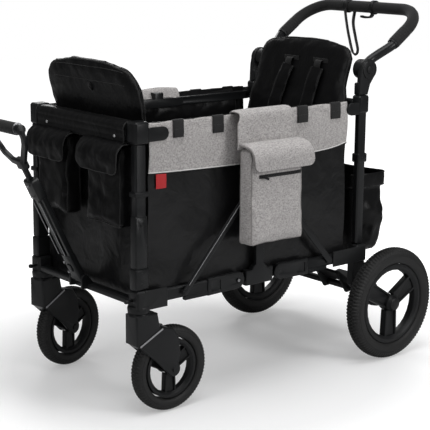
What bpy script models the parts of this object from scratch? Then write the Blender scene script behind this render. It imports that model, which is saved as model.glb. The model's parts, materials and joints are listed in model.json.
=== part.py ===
"""Folding two-seat wagon: frame, fold linkage, casters, wheels, handles and cloth goods, in metres."""

import math

import bmesh
import bpy
from mathutils import Matrix, Vector

for old in list(bpy.data.objects):
    bpy.data.objects.remove(old, do_unlink=True)

# Driving dimensions. x = 0 is the middle of the fold, +x the pushing end, z = 0 the ground.
FRONT_X = -0.399
REAR_X = 0.4045
POST_Y = (0.2220, 0.2440)
FRONT_POST = 0.034
REAR_POST = 0.030
PIVOT_X = 0.355
CENTRE_X = 0.079
LOW_Z = 0.325
TOP_Z = 0.755
ARM_X = 0.270
HUB_Z = 0.627

# Layers of one side, from the inside out, as distances from the middle plane.
TOP_RAIL_Y = (0.2090, 0.2315)
CLOTH_Y = (0.2325, 0.2355)
BAND_Y = (0.2358, 0.2372)
RAIL_Y = (0.2380, 0.2510)
LINK_Y = (0.2440, 0.2555)
REAR_ARM_Y = (0.2560, 0.2595)
FRONT_ARM_Y = (0.2600, 0.2640)
BAG_Y = (0.2675, 0.3240)

# Tub, wheels and casters.
TUB_X = (-0.3735, 0.3520)
TUB_Z = (0.338, 0.780)
REAR_AXLE = (0.487, 0.169)
REAR_R = 0.169
REAR_WHEEL_Y = 0.2960
FRONT_AXLE = (-0.300, 0.117)
FRONT_R = 0.117
SWIVEL = (-0.399, 0.2300)

# Handles.
PUSH_PIVOT = (0.426, 0.867)
PUSH_ANGLE = math.radians(34.5)
PUSH_REACH = 0.2830
PUSH_Y = 0.2370
KNUCKLE_Y = 0.2120
PULL_PIVOT = (-0.4280, 0.338)
PULL_LEAN = math.radians(26.5)
TRAIL = math.radians(11.0)

MATERIALS = {
    "frame_black": ((0.020, 0.021, 0.023), 0.42, 0.30),
    "moulded_black": ((0.017, 0.018, 0.019), 0.55, 0.0),
    "tyre_black": ((0.022, 0.022, 0.023), 0.85, 0.0),
    "foam_black": ((0.020, 0.020, 0.021), 0.78, 0.0),
    "cloth_black": ((0.012, 0.012, 0.013), 0.80, 0.0),
    "cloth_grey": ((0.36, 0.33, 0.32), 0.90, 0.0),
}


def material(name):
    made = bpy.data.materials.get(name)
    if made is None:
        colour, roughness, metallic = MATERIALS[name]
        made = bpy.data.materials.new(name)
        made.use_nodes = True
        shader = made.node_tree.nodes["Principled BSDF"]
        shader.inputs["Base Color"].default_value = (*colour, 1.0)
        shader.inputs["Roughness"].default_value = roughness
        shader.inputs["Metallic"].default_value = metallic
        made.diffuse_color = (*colour, 1.0)
    return made


def piece(bm):
    """A closed bmesh as a helper object, turned outward."""
    bmesh.ops.recalc_face_normals(bm, faces=bm.faces)
    mesh = bpy.data.meshes.new("piece")
    bm.to_mesh(mesh)
    bm.free()
    return bpy.data.objects.new("piece", mesh)


def block(x, y, z, edge=0.0):
    """A box between two limits on each axis, with chamfered edges."""
    bm = bmesh.new()
    bmesh.ops.create_cube(bm, size=1.0)
    for v in bm.verts:
        v.co = [side[0] if c < 0 else side[1] for c, side in zip(v.co, (x, y, z))]
    if edge:
        bmesh.ops.bevel(bm, geom=bm.edges[:], offset=edge, segments=1, affect="EDGES")
    return piece(bm)


def extruded(outline, low, high, axis, edge=0.0):
    """An outline of (a, b) pairs in the plane across one axis, extruded along it, with chamfered rims."""
    order = {"x": (2, 0, 1), "y": (0, 2, 1), "z": (0, 1, 2)}[axis]
    bm = bmesh.new()
    corners = [[(a, b, low)[k] for k in order] for a, b in outline]
    base = bm.faces.new([bm.verts.new(c) for c in corners])
    grown = bmesh.ops.extrude_face_region(bm, geom=[base])["geom"]
    shift = Vector([high - low if axis == name else 0.0 for name in "xyz"])
    far = [v for v in grown if isinstance(v, bmesh.types.BMVert)]
    bmesh.ops.translate(bm, verts=far, vec=shift)
    if edge:
        k = "xyz".index(axis)
        rim = [e for e in bm.edges if abs(e.verts[0].co[k] - e.verts[1].co[k]) < 1e-7]
        bmesh.ops.bevel(bm, geom=rim, offset=edge, segments=1, affect="EDGES")
    return piece(bm)


def turned(profile, centre, axis, steps=24, ring=False):
    """A profile of (along, radius) pairs turned round an axis through a centre."""
    frame = {"x": "yz", "y": "zx", "z": "xy"}[axis]
    k, i, j = "xyz".index(axis), "xyz".index(frame[0]), "xyz".index(frame[1])
    bm = bmesh.new()
    loops = []
    for along, radius in profile:
        loop = []
        for n in range(steps if radius > 1e-9 else 1):
            turn = 2 * math.pi * n / steps
            point = [0.0, 0.0, 0.0]
            point[k] = along
            point[i] = radius * math.cos(turn)
            point[j] = radius * math.sin(turn)
            loop.append(bm.verts.new(Vector(point) + Vector(centre)))
        loops.append(loop)
    pairs = list(zip(loops, loops[1:] + loops[:1]))
    for a, b in pairs if ring else pairs[:-1]:
        for n in range(steps):
            m = (n + 1) % steps
            corners = [a[n % len(a)], a[m % len(a)], b[m % len(b)], b[n % len(b)]]
            corners = [c for c, before in zip(corners, corners[-1:] + corners[:-1]) if c is not before]
            bm.faces.new(corners)
    return piece(bm)


def rod(start, end, radius, sides=12):
    """A round bar between two points."""
    return swept([start, end], radius, sides)


def swept(points, radius, sides=12, bore=0.0, lift=(0.0, 0.0, 1.0)):
    """A round bar along a path, solid, or hollow where a bore is given."""
    path = [Vector(p) for p in points]
    bm = bmesh.new()
    rings = []
    for n, here in enumerate(path):
        before = (here - path[max(n - 1, 0)]).normalized()
        after = (path[min(n + 1, len(path) - 1)] - here).normalized()
        along = (before + after).normalized()
        side = along.cross(Vector(lift))
        if side.length < 1e-4:
            side = along.cross(Vector((0.0, 1.0, 0.0)))
        side.normalize()
        top = side.cross(along).normalized()
        ring = []
        for r in (radius, bore) if bore else (radius,):
            turns = [2 * math.pi * (s + 0.5) / sides for s in range(sides)]
            ring.append([bm.verts.new(here + r * (side * math.cos(t) + top * math.sin(t))) for t in turns])
        rings.append(ring)
    for a, b in zip(rings, rings[1:]):
        for inner, outer in zip(a, b):
            for s in range(sides):
                t = (s + 1) % sides
                bm.faces.new([inner[s], inner[t], outer[t], outer[s]])
    for end in (rings[0], rings[-1]):
        if bore:
            for s in range(sides):
                t = (s + 1) % sides
                bm.faces.new([end[0][s], end[0][t], end[1][t], end[1][s]])
        else:
            bm.faces.new(end[0])
    return piece(bm)


def arc(centre, radius, start, end, steps):
    """Points on an arc, in degrees."""
    turns = [math.radians(start + (end - start) * n / steps) for n in range(steps + 1)]
    return [(centre[0] + radius * math.cos(t), centre[1] + radius * math.sin(t)) for t in turns]


def link(a, b, half, steps=6):
    """The outline of a flat bar with round ends between two points."""
    lean = math.degrees(math.atan2(b[1] - a[1], b[0] - a[0]))
    return arc(a, half, lean + 90, lean + 270, steps) + arc(b, half, lean - 90, lean + 90, steps)


def placed(item, matrix):
    item.data.transform(matrix)
    return item


def baked(item):
    """The item's mesh with its modifiers applied and flat areas cleaned."""
    graph = bpy.context.evaluated_depsgraph_get()
    mesh = bpy.data.meshes.new_from_object(item.evaluated_get(graph))
    bm = bmesh.new()
    bm.from_mesh(mesh)
    bmesh.ops.remove_doubles(bm, verts=bm.verts, dist=2e-6)
    bmesh.ops.dissolve_limit(bm, angle_limit=0.004, verts=bm.verts, edges=bm.edges)
    bmesh.ops.triangulate(bm, faces=bm.faces)
    bmesh.ops.recalc_face_normals(bm, faces=bm.faces)
    bm.to_mesh(mesh)
    bm.free()
    return mesh


def node(name, colour, pieces, cuts=(), origin=(0.0, 0.0, 0.0)):
    """One named solid: the pieces joined, the cuts taken out, its origin at the given point."""
    base = pieces[0]
    scene = bpy.context.scene.collection
    scene.objects.link(base)
    groups = []
    for operation, items in (("UNION", pieces[1:]), ("DIFFERENCE", cuts)):
        if not items:
            continue
        group = bpy.data.collections.new("helpers")
        scene.children.link(group)
        for item in items:
            group.objects.link(item)
        change = base.modifiers.new(operation.lower(), "BOOLEAN")
        change.operation = operation
        change.operand_type = "COLLECTION"
        change.collection = group
        change.solver = "EXACT"
        groups.append(group)
    mesh = baked(base)
    for item in list(pieces) + list(cuts):
        bpy.data.objects.remove(item, do_unlink=True)
    for group in groups:
        bpy.data.collections.remove(group)
    mesh.name = name
    mesh.transform(Matrix.Translation(-Vector(origin)))
    mesh.materials.clear()
    mesh.materials.append(material(colour))
    made = bpy.data.objects.new(name, mesh)
    made.location = origin
    scene.objects.link(made)
    return made


def mirrored(source, name):
    """The same piece on the other side of the middle plane."""
    mesh = source.data.copy()
    mesh.transform(Matrix.Diagonal((1.0, -1.0, 1.0, 1.0)))
    mesh.flip_normals()
    made = bpy.data.objects.new(name, mesh)
    made.location = (source.location.x, -source.location.y, source.location.z)
    bpy.context.scene.collection.objects.link(made)
    return made


def pair(stem, colour, pieces, cuts=(), origin=(0.0, 0.0, 0.0)):
    """A left and right piece, built on the far side and mirrored to the near one."""
    mirrored(node(stem + "_far", colour, pieces, cuts, origin), stem + "_near")


def both_sides(pieces):
    """The pieces and their mirror images, for a solid that spans both sides."""
    copies = []
    for item in pieces:
        mesh = item.data.copy()
        mesh.transform(Matrix.Diagonal((1.0, -1.0, 1.0, 1.0)))
        mesh.flip_normals()
        copies.append(bpy.data.objects.new("piece", mesh))
    return list(pieces) + copies


def across(x, z, radius, y, sides=12):
    """A round pin, boss or hole along y."""
    return turned([(y[0], 0.0), (y[0], radius), (y[1], radius), (y[1], 0.0)], (x, 0.0, z), "y", sides)


# Front posts: sleeves and collar on a flat tube, with the top block and its hinge cheek.
post = [
    block((FRONT_X - FRONT_POST / 2, FRONT_X + FRONT_POST / 2), POST_Y, (0.3485, 0.730), 0.004),
    block((FRONT_X - 0.0210, FRONT_X + 0.0225), (0.2190, 0.2475), (0.3485, 0.405), 0.003),
    block((FRONT_X - 0.0190, FRONT_X + 0.0190), (0.2200, 0.2460), (0.4051, 0.544), 0.003),
    block((FRONT_X - 0.0210, FRONT_X + 0.0210), (0.2185, 0.2480), (0.594, 0.607), 0.002),
    block((FRONT_X - 0.0200, -0.3742), (0.2065, 0.2480), (0.728, 0.786), 0.005),
    extruded(link((-0.385, 0.751), (-0.327, 0.751), 0.018), 0.2375, 0.2445, "y", 0.0015),
    across(-PIVOT_X, TOP_Z, 0.009, (0.2318, 0.2390)),
]
for z in (0.365, 0.390, 0.520):
    post.append(across(FRONT_X, z, 0.0045, (0.2390, 0.2482), 6))
pair("front_post", "frame_black", post)

# Rear posts: flat tube, screw collar, clamp block with its D-shaped lug and the hinge cheek.
post = [
    block((REAR_X - REAR_POST / 2, REAR_X + REAR_POST / 2), POST_Y, (0.3525, 0.760), 0.004),
    block((REAR_X - 0.0185, REAR_X + 0.0185), (0.2185, 0.2475), (0.598, 0.624), 0.003),
    block((REAR_X - 0.0210, REAR_X + 0.0200), (0.2140, 0.2480), (0.743, 0.794), 0.005),
    extruded(link((0.392, 0.757), (0.357, 0.757), 0.018), 0.2375, 0.2445, "y", 0.0015),
    across(PIVOT_X, TOP_Z, 0.009, (0.2318, 0.2390)),
    across(REAR_X, 0.611, 0.006, (0.2390, 0.2490), 8),
]
pair("rear_post", "frame_black", post)

# Front lower corners: round socket for the caster stem, cheek over the bottom rail with its pivot boss.
sx, sy = SWIVEL
corner = [
    block((-0.4200, -0.3760), (0.2115, 0.2555), (0.2960, 0.3482), 0.005),
    block((-0.3950, -0.3220), (0.2515, 0.2555), (0.2960, 0.3482), 0.0015),
    across(-PIVOT_X, LOW_Z, 0.008, (0.2385, 0.2530)),
    turned([(0.288, 0.0), (0.288, 0.0285), (0.300, 0.0300), (0.306, 0.0285), (0.306, 0.0)], (sx, sy, 0.0), "z", 14),
]
cuts = [
    turned([(0.270, 0.0), (0.270, 0.0105), (0.340, 0.0105), (0.340, 0.0)], (sx, sy, 0.0), "z", 12),
    turned([(-0.435, 0.0), (-0.435, 0.0038), (-0.4070, 0.0038), (-0.4070, 0.0)], (0.0, sy, 0.322), "x", 10),
]
pair("front_corner", "moulded_black", corner, cuts)

# Rear lower corners: moulding round the post foot, then a leg down and back to the stub axle.
leg = [(0.3845, 0.3522), (0.4230, 0.3522), (0.4300, 0.300), (0.5100, 0.190), (0.5100, 0.158)]
leg += [(0.500, 0.148), (0.476, 0.148), (0.3845, 0.228)]
corner = [
    extruded(leg, 0.2140, 0.2410, "y", 0.004),
    block((0.3845, 0.4260), (0.2115, 0.2555), (0.300, 0.3522), 0.005),
    block((0.286, 0.395), (0.2515, 0.2555), (0.302, 0.3482), 0.0015),
    across(PIVOT_X, LOW_Z, 0.008, (0.2385, 0.2530)),
    turned([(0.2290, 0.0), (0.2290, 0.024), (0.2470, 0.022), (0.2700, 0.014), (0.2700, 0.0)],
           (REAR_AXLE[0], 0, REAR_AXLE[1]), "y", 14),
    across(*REAR_AXLE, 0.006, (0.2600, 0.3090), 12),
]
pair("rear_corner", "moulded_black", corner)

# Covers of the push handle joint, standing on the rear posts.
cover = [(0.3880, 0.7947), (0.4240, 0.7947), (0.4330, 0.8240), (0.4480, 0.8440)]
cover += arc(PUSH_PIVOT, 0.031, -35, 165, 9) + [(0.3900, 0.8450)]
pieces = [
    extruded(cover, 0.2265, 0.2415, "y", 0.0025),
    block((0.3880, 0.4240), (0.2170, 0.2390), (0.7947, 0.8300), 0.003),
    turned([(0.2390, 0.0), (0.2390, 0.0285), (0.2450, 0.0270), (0.2450, 0.0)], (PUSH_PIVOT[0], 0, PUSH_PIVOT[1]), "y", 18),
    across(*PUSH_PIVOT, 0.009, (0.2095, 0.2290)),
]
pair("handle_cover", "moulded_black", pieces, [across(*PUSH_PIVOT, 0.0125, (0.2345, 0.2490), 16)])
profile = [(0.2395, 0.0), (0.2395, 0.0121), (0.2455, 0.0121), (0.2475, 0.0100), (0.2475, 0.0)]
button = [turned(profile, (PUSH_PIVOT[0], 0, PUSH_PIVOT[1]), "y", 14)]
pair("push_button", "moulded_black", button, (), (PUSH_PIVOT[0], 0.2435, PUSH_PIVOT[1]))

# Push bar: a U in a plane that leans back, its ends in round knuckles, and the foam grip round it.
lean = Vector((math.cos(PUSH_ANGLE), 0.0, math.sin(PUSH_ANGLE)))
pivot = Vector((PUSH_PIVOT[0], 0.0, PUSH_PIVOT[1]))
bend = 0.089
flat = [(0.125, PUSH_Y)] + [(s, y) for s, y in arc((PUSH_REACH - bend, PUSH_Y - bend), bend, 90, 0, 5)]
flat += [(s, -y) for s, y in reversed(flat)]
curve = [pivot + lean * s + Vector((0.0, y, 0.0)) for s, y in flat]
ends = [pivot + lean * s + Vector((0.0, y, 0.0)) for s, y in ((0.018, KNUCKLE_Y), (0.048, KNUCKLE_Y), (0.108, PUSH_Y))]
far_ends = [Vector((v.x, -v.y, v.z)) for v in reversed(ends)]
normal = lean.cross(Vector((0.0, 1.0, 0.0)))
bar = [swept(ends + curve + far_ends, 0.0140, 10, lift=normal)]
bar += both_sides([across(*PUSH_PIVOT, 0.0285, (0.1998, 0.2260), 20)])
cuts = both_sides([across(*PUSH_PIVOT, 0.0096, (0.2090, 0.2390))])
node("push_bar", "frame_black", bar, cuts, (PUSH_PIVOT[0], 0.0, PUSH_PIVOT[1]))
grip = [swept(curve, 0.0185, 10, 0.0152, lift=normal)]
node("push_grip", "foam_black", grip, (), (PUSH_PIVOT[0], 0.0, PUSH_PIVOT[1]))

# Cross members: top bar and axle beam at the rear, panel and bottom bar at the front.
node("rear_top_bar", "frame_black", [block((0.392, 0.416), (-0.2136, 0.2136), (0.752, 0.780), 0.006)])
beam = [
    rod((0.483, -0.2136, 0.183), (0.483, 0.2136, 0.183), 0.0105, 14),
    block((0.467, 0.499), (0.1910, 0.2136), (0.166, 0.199), 0.004),
    block((0.467, 0.499), (-0.2136, -0.1910), (0.166, 0.199), 0.004),
]
node("rear_axle_beam", "frame_black", beam)
panel = [
    block((-0.4180, -0.3830), (-0.2060, 0.2060), (0.7280, 0.7800), 0.008),
    extruded(link((0.160, 0.754), (0.181, 0.754), 0.0245), -0.4200, -0.3850, "x", 0.002),
    extruded(link((-0.181, 0.754), (-0.160, 0.754), 0.0245), -0.4200, -0.3850, "x", 0.002),
]
node("front_top_panel", "moulded_black", panel)
px, pz = PULL_PIVOT
lug = [(px - 0.0120, 0.3120), (-0.4000, 0.3080), (-0.4000, 0.3230)] + arc(PULL_PIVOT, 0.0120, 20, 180, 6)
bar = [
    block((-0.4195, -0.3920), (-0.2110, 0.2110), (0.3065, 0.3240), 0.004),
    extruded(lug, 0.0245, 0.0315, "y", 0.001),
    extruded(lug, -0.0315, -0.0245, "y", 0.001),
    across(px, pz, 0.0045, (-0.0300, 0.0300), 12),
]
node("front_bottom_bar", "frame_black", bar)

# Floor frames: two side rails with their outer links, cross tubes and a board, one for each half.
def floor_frame(name, way):
    pivot_at, pin_at = (way * PIVOT_X, LOW_Z), (way * CENTRE_X, LOW_Z)
    rail = link((way * 0.116, LOW_Z), pivot_at, 0.016, 5)
    outer = link(pin_at, (way * 0.185, LOW_Z - 0.0025), 0.0235)
    arm_boss = 0.2558 if way > 0 else 0.2598
    side = [
        extruded(rail, *RAIL_Y, "y", 0.003),
        extruded(outer[:-7] + [(way * 0.185, 0.346), (way * 0.185, 0.299)][::-way], *LINK_Y, "y", 0.0015),
        extruded([(way * a, b) for a, b in ((0.170, 0.300), (0.262, 0.300), (0.262, 0.312), (0.170, 0.312))],
                 0.2410, 0.2530, "y"),
        across(way * ARM_X, LOW_Z, 0.0055, (0.2490, arm_boss)),
    ]
    whole = both_sides(side)
    for x in (0.124, 0.325):
        span = sorted((way * x - way * 0.009, way * x + way * 0.009))
        whole.append(block(span, (-0.2410, 0.2410), (0.3125, 0.3330)))
    whole.append(block(sorted((way * 0.118, way * 0.334)), (-0.2370, 0.2370), (0.3250, 0.3360)))
    cuts = both_sides([
        across(way * PIVOT_X, LOW_Z, 0.0083, (0.2350, 0.2590)),
        across(way * CENTRE_X, LOW_Z, 0.0063, (0.2350, 0.2590)),
        block(sorted((way * 0.141, way * 0.173)), (0.2530, 0.2590), (0.309, 0.337)),
    ])
    node(name, "frame_black", whole, cuts, (way * PIVOT_X, 0.0, LOW_Z))


floor_frame("front_floor_frame", -1)
floor_frame("rear_floor_frame", 1)

# Centre frame: gusset plate, lugs with pins, upright bar and the top bridge on each side, one cross bar.
crown = [(-0.049, 0.303), (0.049, 0.303), (0.049, 0.346), (0.034, 0.346)]
crown += arc((0.0, 0.330), 0.033, 28, 152, 8) + [(-0.034, 0.346), (-0.049, 0.346)]
side = [
    extruded(crown, 0.2380, 0.2555, "y", 0.002),
    extruded(link((-CENTRE_X, LOW_Z), (CENTRE_X, LOW_Z), 0.014, 4), 0.2380, 0.2435, "y"),
    across(-CENTRE_X, LOW_Z, 0.006, (0.2410, 0.2558), 8),
    across(CENTRE_X, LOW_Z, 0.006, (0.2410, 0.2558), 8),
    block((-0.0145, 0.0145), (0.2445, 0.2555), (0.335, 0.7860), 0.001),
    block((-0.0145, 0.0145), (0.2040, 0.2555), (0.7810, 0.7860)),
    block((-0.0145, 0.0145), (0.2005, 0.2315), (0.7420, 0.7850)),
    block((-0.0550, 0.0550), (0.2005, 0.2315), (0.7420, 0.7680)),
    extruded(link((-CENTRE_X, TOP_Z), (CENTRE_X, TOP_Z), 0.012, 4), 0.2005, 0.2085, "y"),
    across(-CENTRE_X, TOP_Z, 0.0050, (0.2070, 0.2270), 8),
    across(CENTRE_X, TOP_Z, 0.0050, (0.2070, 0.2270), 8),
]
node("centre_frame", "frame_black", both_sides(side) + [block((-0.012, 0.012), (-0.2410, 0.2410), (0.3080, 0.3300))])

# Top rails, hidden in the grey band, between the post blocks and the centre frame.
for name, way in (("front", -1), ("rear", 1)):
    rail = [extruded(link((way * CENTRE_X, TOP_Z), (way * PIVOT_X, TOP_Z), 0.012, 5), *TOP_RAIL_Y, "y")]
    cuts = [
        across(way * CENTRE_X, TOP_Z, 0.0055, (0.1990, 0.2390)),
        across(way * PIVOT_X, TOP_Z, 0.0095, (0.1990, 0.2390)),
    ]
    pair(f"top_rail_{name}", "frame_black", rail, cuts, (way * PIVOT_X, 0.2202, TOP_Z))

# Diagonal arms from the bottom rails to the hub, and the slider that guides the hub.
for name, way, layer, hole in (("front", -1, FRONT_ARM_Y, 0.0058), ("rear", 1, REAR_ARM_Y, 0.0058)):
    arm = [extruded(link((way * ARM_X, LOW_Z), (0.0, HUB_Z), 0.0095, 5), *layer, "y", 0.0008)]
    if way < 0:
        arm.append(across(0.0, HUB_Z, 0.0065, (0.2635, 0.2660)))
        arm.append(across(-ARM_X, LOW_Z, 0.0065, (0.2602, 0.2660)))
    pair(f"arm_{name}", "frame_black", arm, (), (way * ARM_X, 0.2600, LOW_Z))
slider = [block((-0.0215, 0.0215), (0.2395, 0.2553), (0.600, 0.654), 0.002)]
slot = [block((-0.0148, 0.0148), (0.2442, 0.2690), (0.590, 0.664))]
pair("arm_slider", "moulded_black", slider, slot, (0.0, 0.2470, HUB_Z))

# Rear wheels: tyre, and a rim with three broad double-ribbed spokes and a cap.
ax, az = REAR_AXLE
y0 = REAR_WHEEL_Y
tread = [(-0.0185, 0.122), (-0.0235, 0.132), (-0.0235, 0.152), (-0.0200, 0.1640), (-0.0110, REAR_R)]
tread += [(0.0110, REAR_R), (0.0200, 0.1640), (0.0235, 0.152), (0.0235, 0.132), (0.0185, 0.122)]
pair("rear_tyre", "tyre_black", [turned([(y0 + a, r) for a, r in tread], (ax, 0, az), "y", 28, True)], (), (ax, y0, az))


def spokes(x, z, middle, hub, rim, width, depth, ribs):
    """Three broad spokes: a web with a rib along each edge, from the hub to the rim."""
    made = []
    for n in range(3):
        turn = Matrix.Translation((x, 0, z)) @ Matrix.Rotation(math.radians(90 + 120 * n), 4, "Y")
        web = [(hub, -width * 0.42), (rim, -width * 0.5), (rim, width * 0.5), (hub, width * 0.42)]
        made.append(placed(extruded(web, middle - depth * 0.4, middle + depth * 0.4, "y"), turn))
        for edge in (-1, 1):
            rib = [(hub, edge * width * 0.42), (rim, edge * width * 0.5), (rim, edge * (width * 0.5 + ribs)),
                   (hub, edge * (width * 0.42 + ribs))]
            made.append(placed(extruded(rib, middle - depth, middle + depth, "y"), turn))
    return made


barrel = [(-0.0170, 0.1217), (-0.0180, 0.1110), (-0.0100, 0.1020), (0.0100, 0.1020), (0.0180, 0.1110), (0.0170, 0.1217)]
hub = [(0.2704, 0.0), (0.2704, 0.021), (0.2780, 0.025), (0.3100, 0.025), (0.3160, 0.020), (0.3215, 0.019)]
hub += [(0.3240, 0.015), (0.3240, 0.0)]
rim = [turned([(y0 + a, r) for a, r in barrel], (ax, 0, az), "y", 28, True), turned(hub, (ax, 0, az), "y", 14)]
rim += spokes(ax, az, y0, 0.020, 0.106, 0.040, 0.011, 0.005)
pair("rear_rim", "moulded_black", rim, [across(ax, az, 0.0065, (0.2590, 0.3100), 12)], (ax, y0, az))

# Front casters: crown with a rounded nose, two cheeks down to the axle, and the stem that turns in the corner.
ax, az = FRONT_AXLE
half = 0.0285
crown = [(-0.4230, 0.2030), (-0.4230, 0.2830), (-0.3550, 0.2830), (-0.3480, 0.2480), (-0.3200, 0.2000), (-0.4000, 0.1900)]
cheek = [(-0.4180, 0.2020), (-0.3380, 0.2420), (-0.3050, 0.2330), (-0.2860, 0.2040), (-0.2790, 0.1600)]
cheek += arc((ax, az), 0.0200, 50, -130, 8) + [(-0.3600, 0.1500)]
fork = [
    extruded(cheek, sy - half, sy + half, "y", 0.003),
    extruded(crown, sy - half + 0.002, sy + half - 0.002, "y", 0.003),
    turned([(0.280, 0.0), (0.280, 0.0290), (0.2860, 0.0280), (0.2860, 0.0)], (sx, sy, 0), "z", 14),
    turned([(0.270, 0.0), (0.270, 0.0100), (0.338, 0.0100), (0.338, 0.0)], (sx, sy, 0), "z", 12),
    across(ax, az, 0.0090, (sy + 0.0280, sy + 0.0325), 6),
    across(ax, az, 0.0090, (sy - 0.0325, sy - 0.0280), 6),
]
room = [
    turned([(sy - 0.0222, 0.005), (sy - 0.0222, 0.1220), (sy + 0.0222, 0.1220), (sy + 0.0222, 0.005)],
           (ax, 0, az), "y", 28, True),
]
pair("caster_fork", "frame_black", fork, room, (sx, sy, 0.268))
profile = [(-0.4420, 0.0), (-0.4420, 0.0055), (-0.4350, 0.0065), (-0.4350, 0.0035), (-0.4100, 0.0035), (-0.4100, 0.0)]
pair("swivel_pin", "moulded_black", [turned(profile, (0, sy, 0.322), "x", 10)], (), (-0.4300, sy, 0.322))
tread = [(-0.0160, 0.082), (-0.0198, 0.090), (-0.0200, 0.105), (-0.0165, 0.1135), (-0.0090, FRONT_R)]
tread += [(0.0090, FRONT_R), (0.0165, 0.1135), (0.0200, 0.105), (0.0198, 0.090), (0.0160, 0.082)]
pair("front_tyre", "tyre_black", [turned([(sy + a, r) for a, r in tread], (ax, 0, az), "y", 28, True)], (), (ax, sy, az))
barrel = [(-0.0150, 0.0817), (-0.0155, 0.0740), (-0.0080, 0.0670), (0.0080, 0.0670), (0.0155, 0.0740), (0.0150, 0.0817)]
hub = [(-0.0214, 0.0), (-0.0214, 0.0170), (0.0214, 0.0170), (0.0214, 0.0)]
rim = [turned([(sy + a, r) for a, r in barrel], (ax, 0, az), "y", 28, True)]
rim += [turned([(sy + a, r) for a, r in hub], (ax, 0, az), "y", 14)]
rim += spokes(ax, az, sy, 0.014, 0.070, 0.028, 0.009, 0.004)
pair("front_rim", "moulded_black", rim, [across(ax, az, 0.0054, (0.1790, 0.2690), 12)], (ax, sy, az))

# The far caster has swung a little outward about its stem, as it stands in the photograph.
stem = Vector((sx, sy, 0.0))
swing = Matrix.Rotation(TRAIL, 4, "Z")
for name in ("caster_fork_far", "front_tyre_far", "front_rim_far"):
    swung = bpy.data.objects[name]
    swung.data.transform(swing)
    swung.location = stem + swing @ (swung.location - stem)

# Foot brake on the axle beam: a rocker with two blades.
px, pz = 0.483, 0.183
rocker = [(px - 0.058, pz + 0.052), (px - 0.050, pz + 0.058), (px - 0.004, pz + 0.024), (px + 0.012, pz + 0.022)]
rocker += [(px + 0.052, pz + 0.030), (px + 0.056, pz + 0.022), (px + 0.022, pz - 0.012), (px - 0.016, pz - 0.014)]
pedal = [extruded(rocker, -0.140, -0.128, "y", 0.002), extruded(rocker, -0.046, -0.034, "y", 0.002)]
pedal.append(extruded(rocker[:4] + [(px + 0.004, pz + 0.014), (px - 0.010, pz + 0.016)], -0.136, -0.038, "y", 0.001))
pedal.append(extruded([rocker[3], rocker[4], rocker[5], (px + 0.014, pz + 0.012)], -0.136, -0.038, "y", 0.001))
node("brake_pedal", "moulded_black", pedal, [across(px, pz, 0.0109, (-0.1790, 0.0), 16)], (px, -0.087, pz))

# Pull handle, built upright and then leaned forward: grooved rails, sliding tube with its yoke, grip.
tilt = Matrix.Translation((PULL_PIVOT[0], 0.0, PULL_PIVOT[1])) @ Matrix.Rotation(-PULL_LEAN, 4, "Y")
mid = -0.0045
rails = [
    block((-0.0100, 0.0100), (-0.0215, 0.0215), (0.0000, 0.0800), 0.003),
    across(0.0, 0.0, 0.0118, (-0.0240, 0.0240), 14),
    block((-0.0075, 0.0075), (0.0095, 0.0215), (0.0700, 0.2700), 0.001),
    block((-0.0075, 0.0075), (-0.0215, -0.0095), (0.0700, 0.2700), 0.001),
    block((0.0045, 0.0075), (-0.0120, 0.0120), (0.0700, 0.2700)),
    block((-0.0135, -0.0080), (-0.0080, 0.0080), (0.0280, 0.0500), 0.001),
    block((-0.0155, 0.0110), (-0.0235, 0.0235), (0.2610, 0.3220), 0.004),
]
cuts = [
    turned([(0.0850, 0.0), (0.0850, 0.0083), (0.3400, 0.0083), (0.3400, 0.0)], (mid, 0, 0), "z", 14),
    across(0.0, 0.0, 0.0048, (-0.0300, 0.0300), 12),
]
origin = (PULL_PIVOT[0], 0.0, PULL_PIVOT[1])
node("pull_rails", "frame_black", [placed(i, tilt) for i in rails], [placed(i, tilt) for i in cuts], origin)


def ribbon(points, half):
    """The outline of a strip of even width along a path."""
    left, right = [], []
    for n, here in enumerate(points):
        a, b = points[max(n - 1, 0)], points[min(n + 1, len(points) - 1)]
        size = math.hypot(b[0] - a[0], b[1] - a[1])
        side = (-(b[1] - a[1]) / size * half, (b[0] - a[0]) / size * half)
        left.append((here[0] + side[0], here[1] + side[1]))
        right.append((here[0] - side[0], here[1] - side[1]))
    return left + right[::-1]


near_arm = [(-0.006, 0.370), (-0.040, 0.411), (-0.062, 0.436), (-0.074, 0.458), (-0.0765, 0.484)]
far_arm = [(0.004, 0.370), (0.040, 0.376), (0.066, 0.397), (0.079, 0.428), (0.081, 0.459), (0.0765, 0.484)]
tube = [
    turned([(0.150, 0.0), (0.150, 0.0080), (0.365, 0.0080), (0.365, 0.0)], (mid, 0, 0), "z", 14),
    block((mid - 0.0100, mid + 0.0100), (-0.0180, 0.0180), (0.3550, 0.3880), 0.004),
    extruded(ribbon(near_arm, 0.0080), mid - 0.0055, mid + 0.0055, "x", 0.001),
    extruded(ribbon(far_arm, 0.0080), mid - 0.0055, mid + 0.0055, "x", 0.001),
    across(mid, 0.484, 0.0135, (-0.0820, -0.0662), 14),
    across(mid, 0.484, 0.0135, (0.0662, 0.0820), 14),
]
node("pull_tube", "frame_black", [placed(i, tilt) for i in tube], (), origin)
profile = [(-0.0657, 0.0), (-0.0657, 0.0140), (-0.0630, 0.0160), (0.0630, 0.0160), (0.0657, 0.0140), (0.0657, 0.0)]
node("pull_grip", "foam_black", [placed(turned(profile, (mid, 0, 0.484), "y", 14), tilt)], (), origin)

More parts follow.
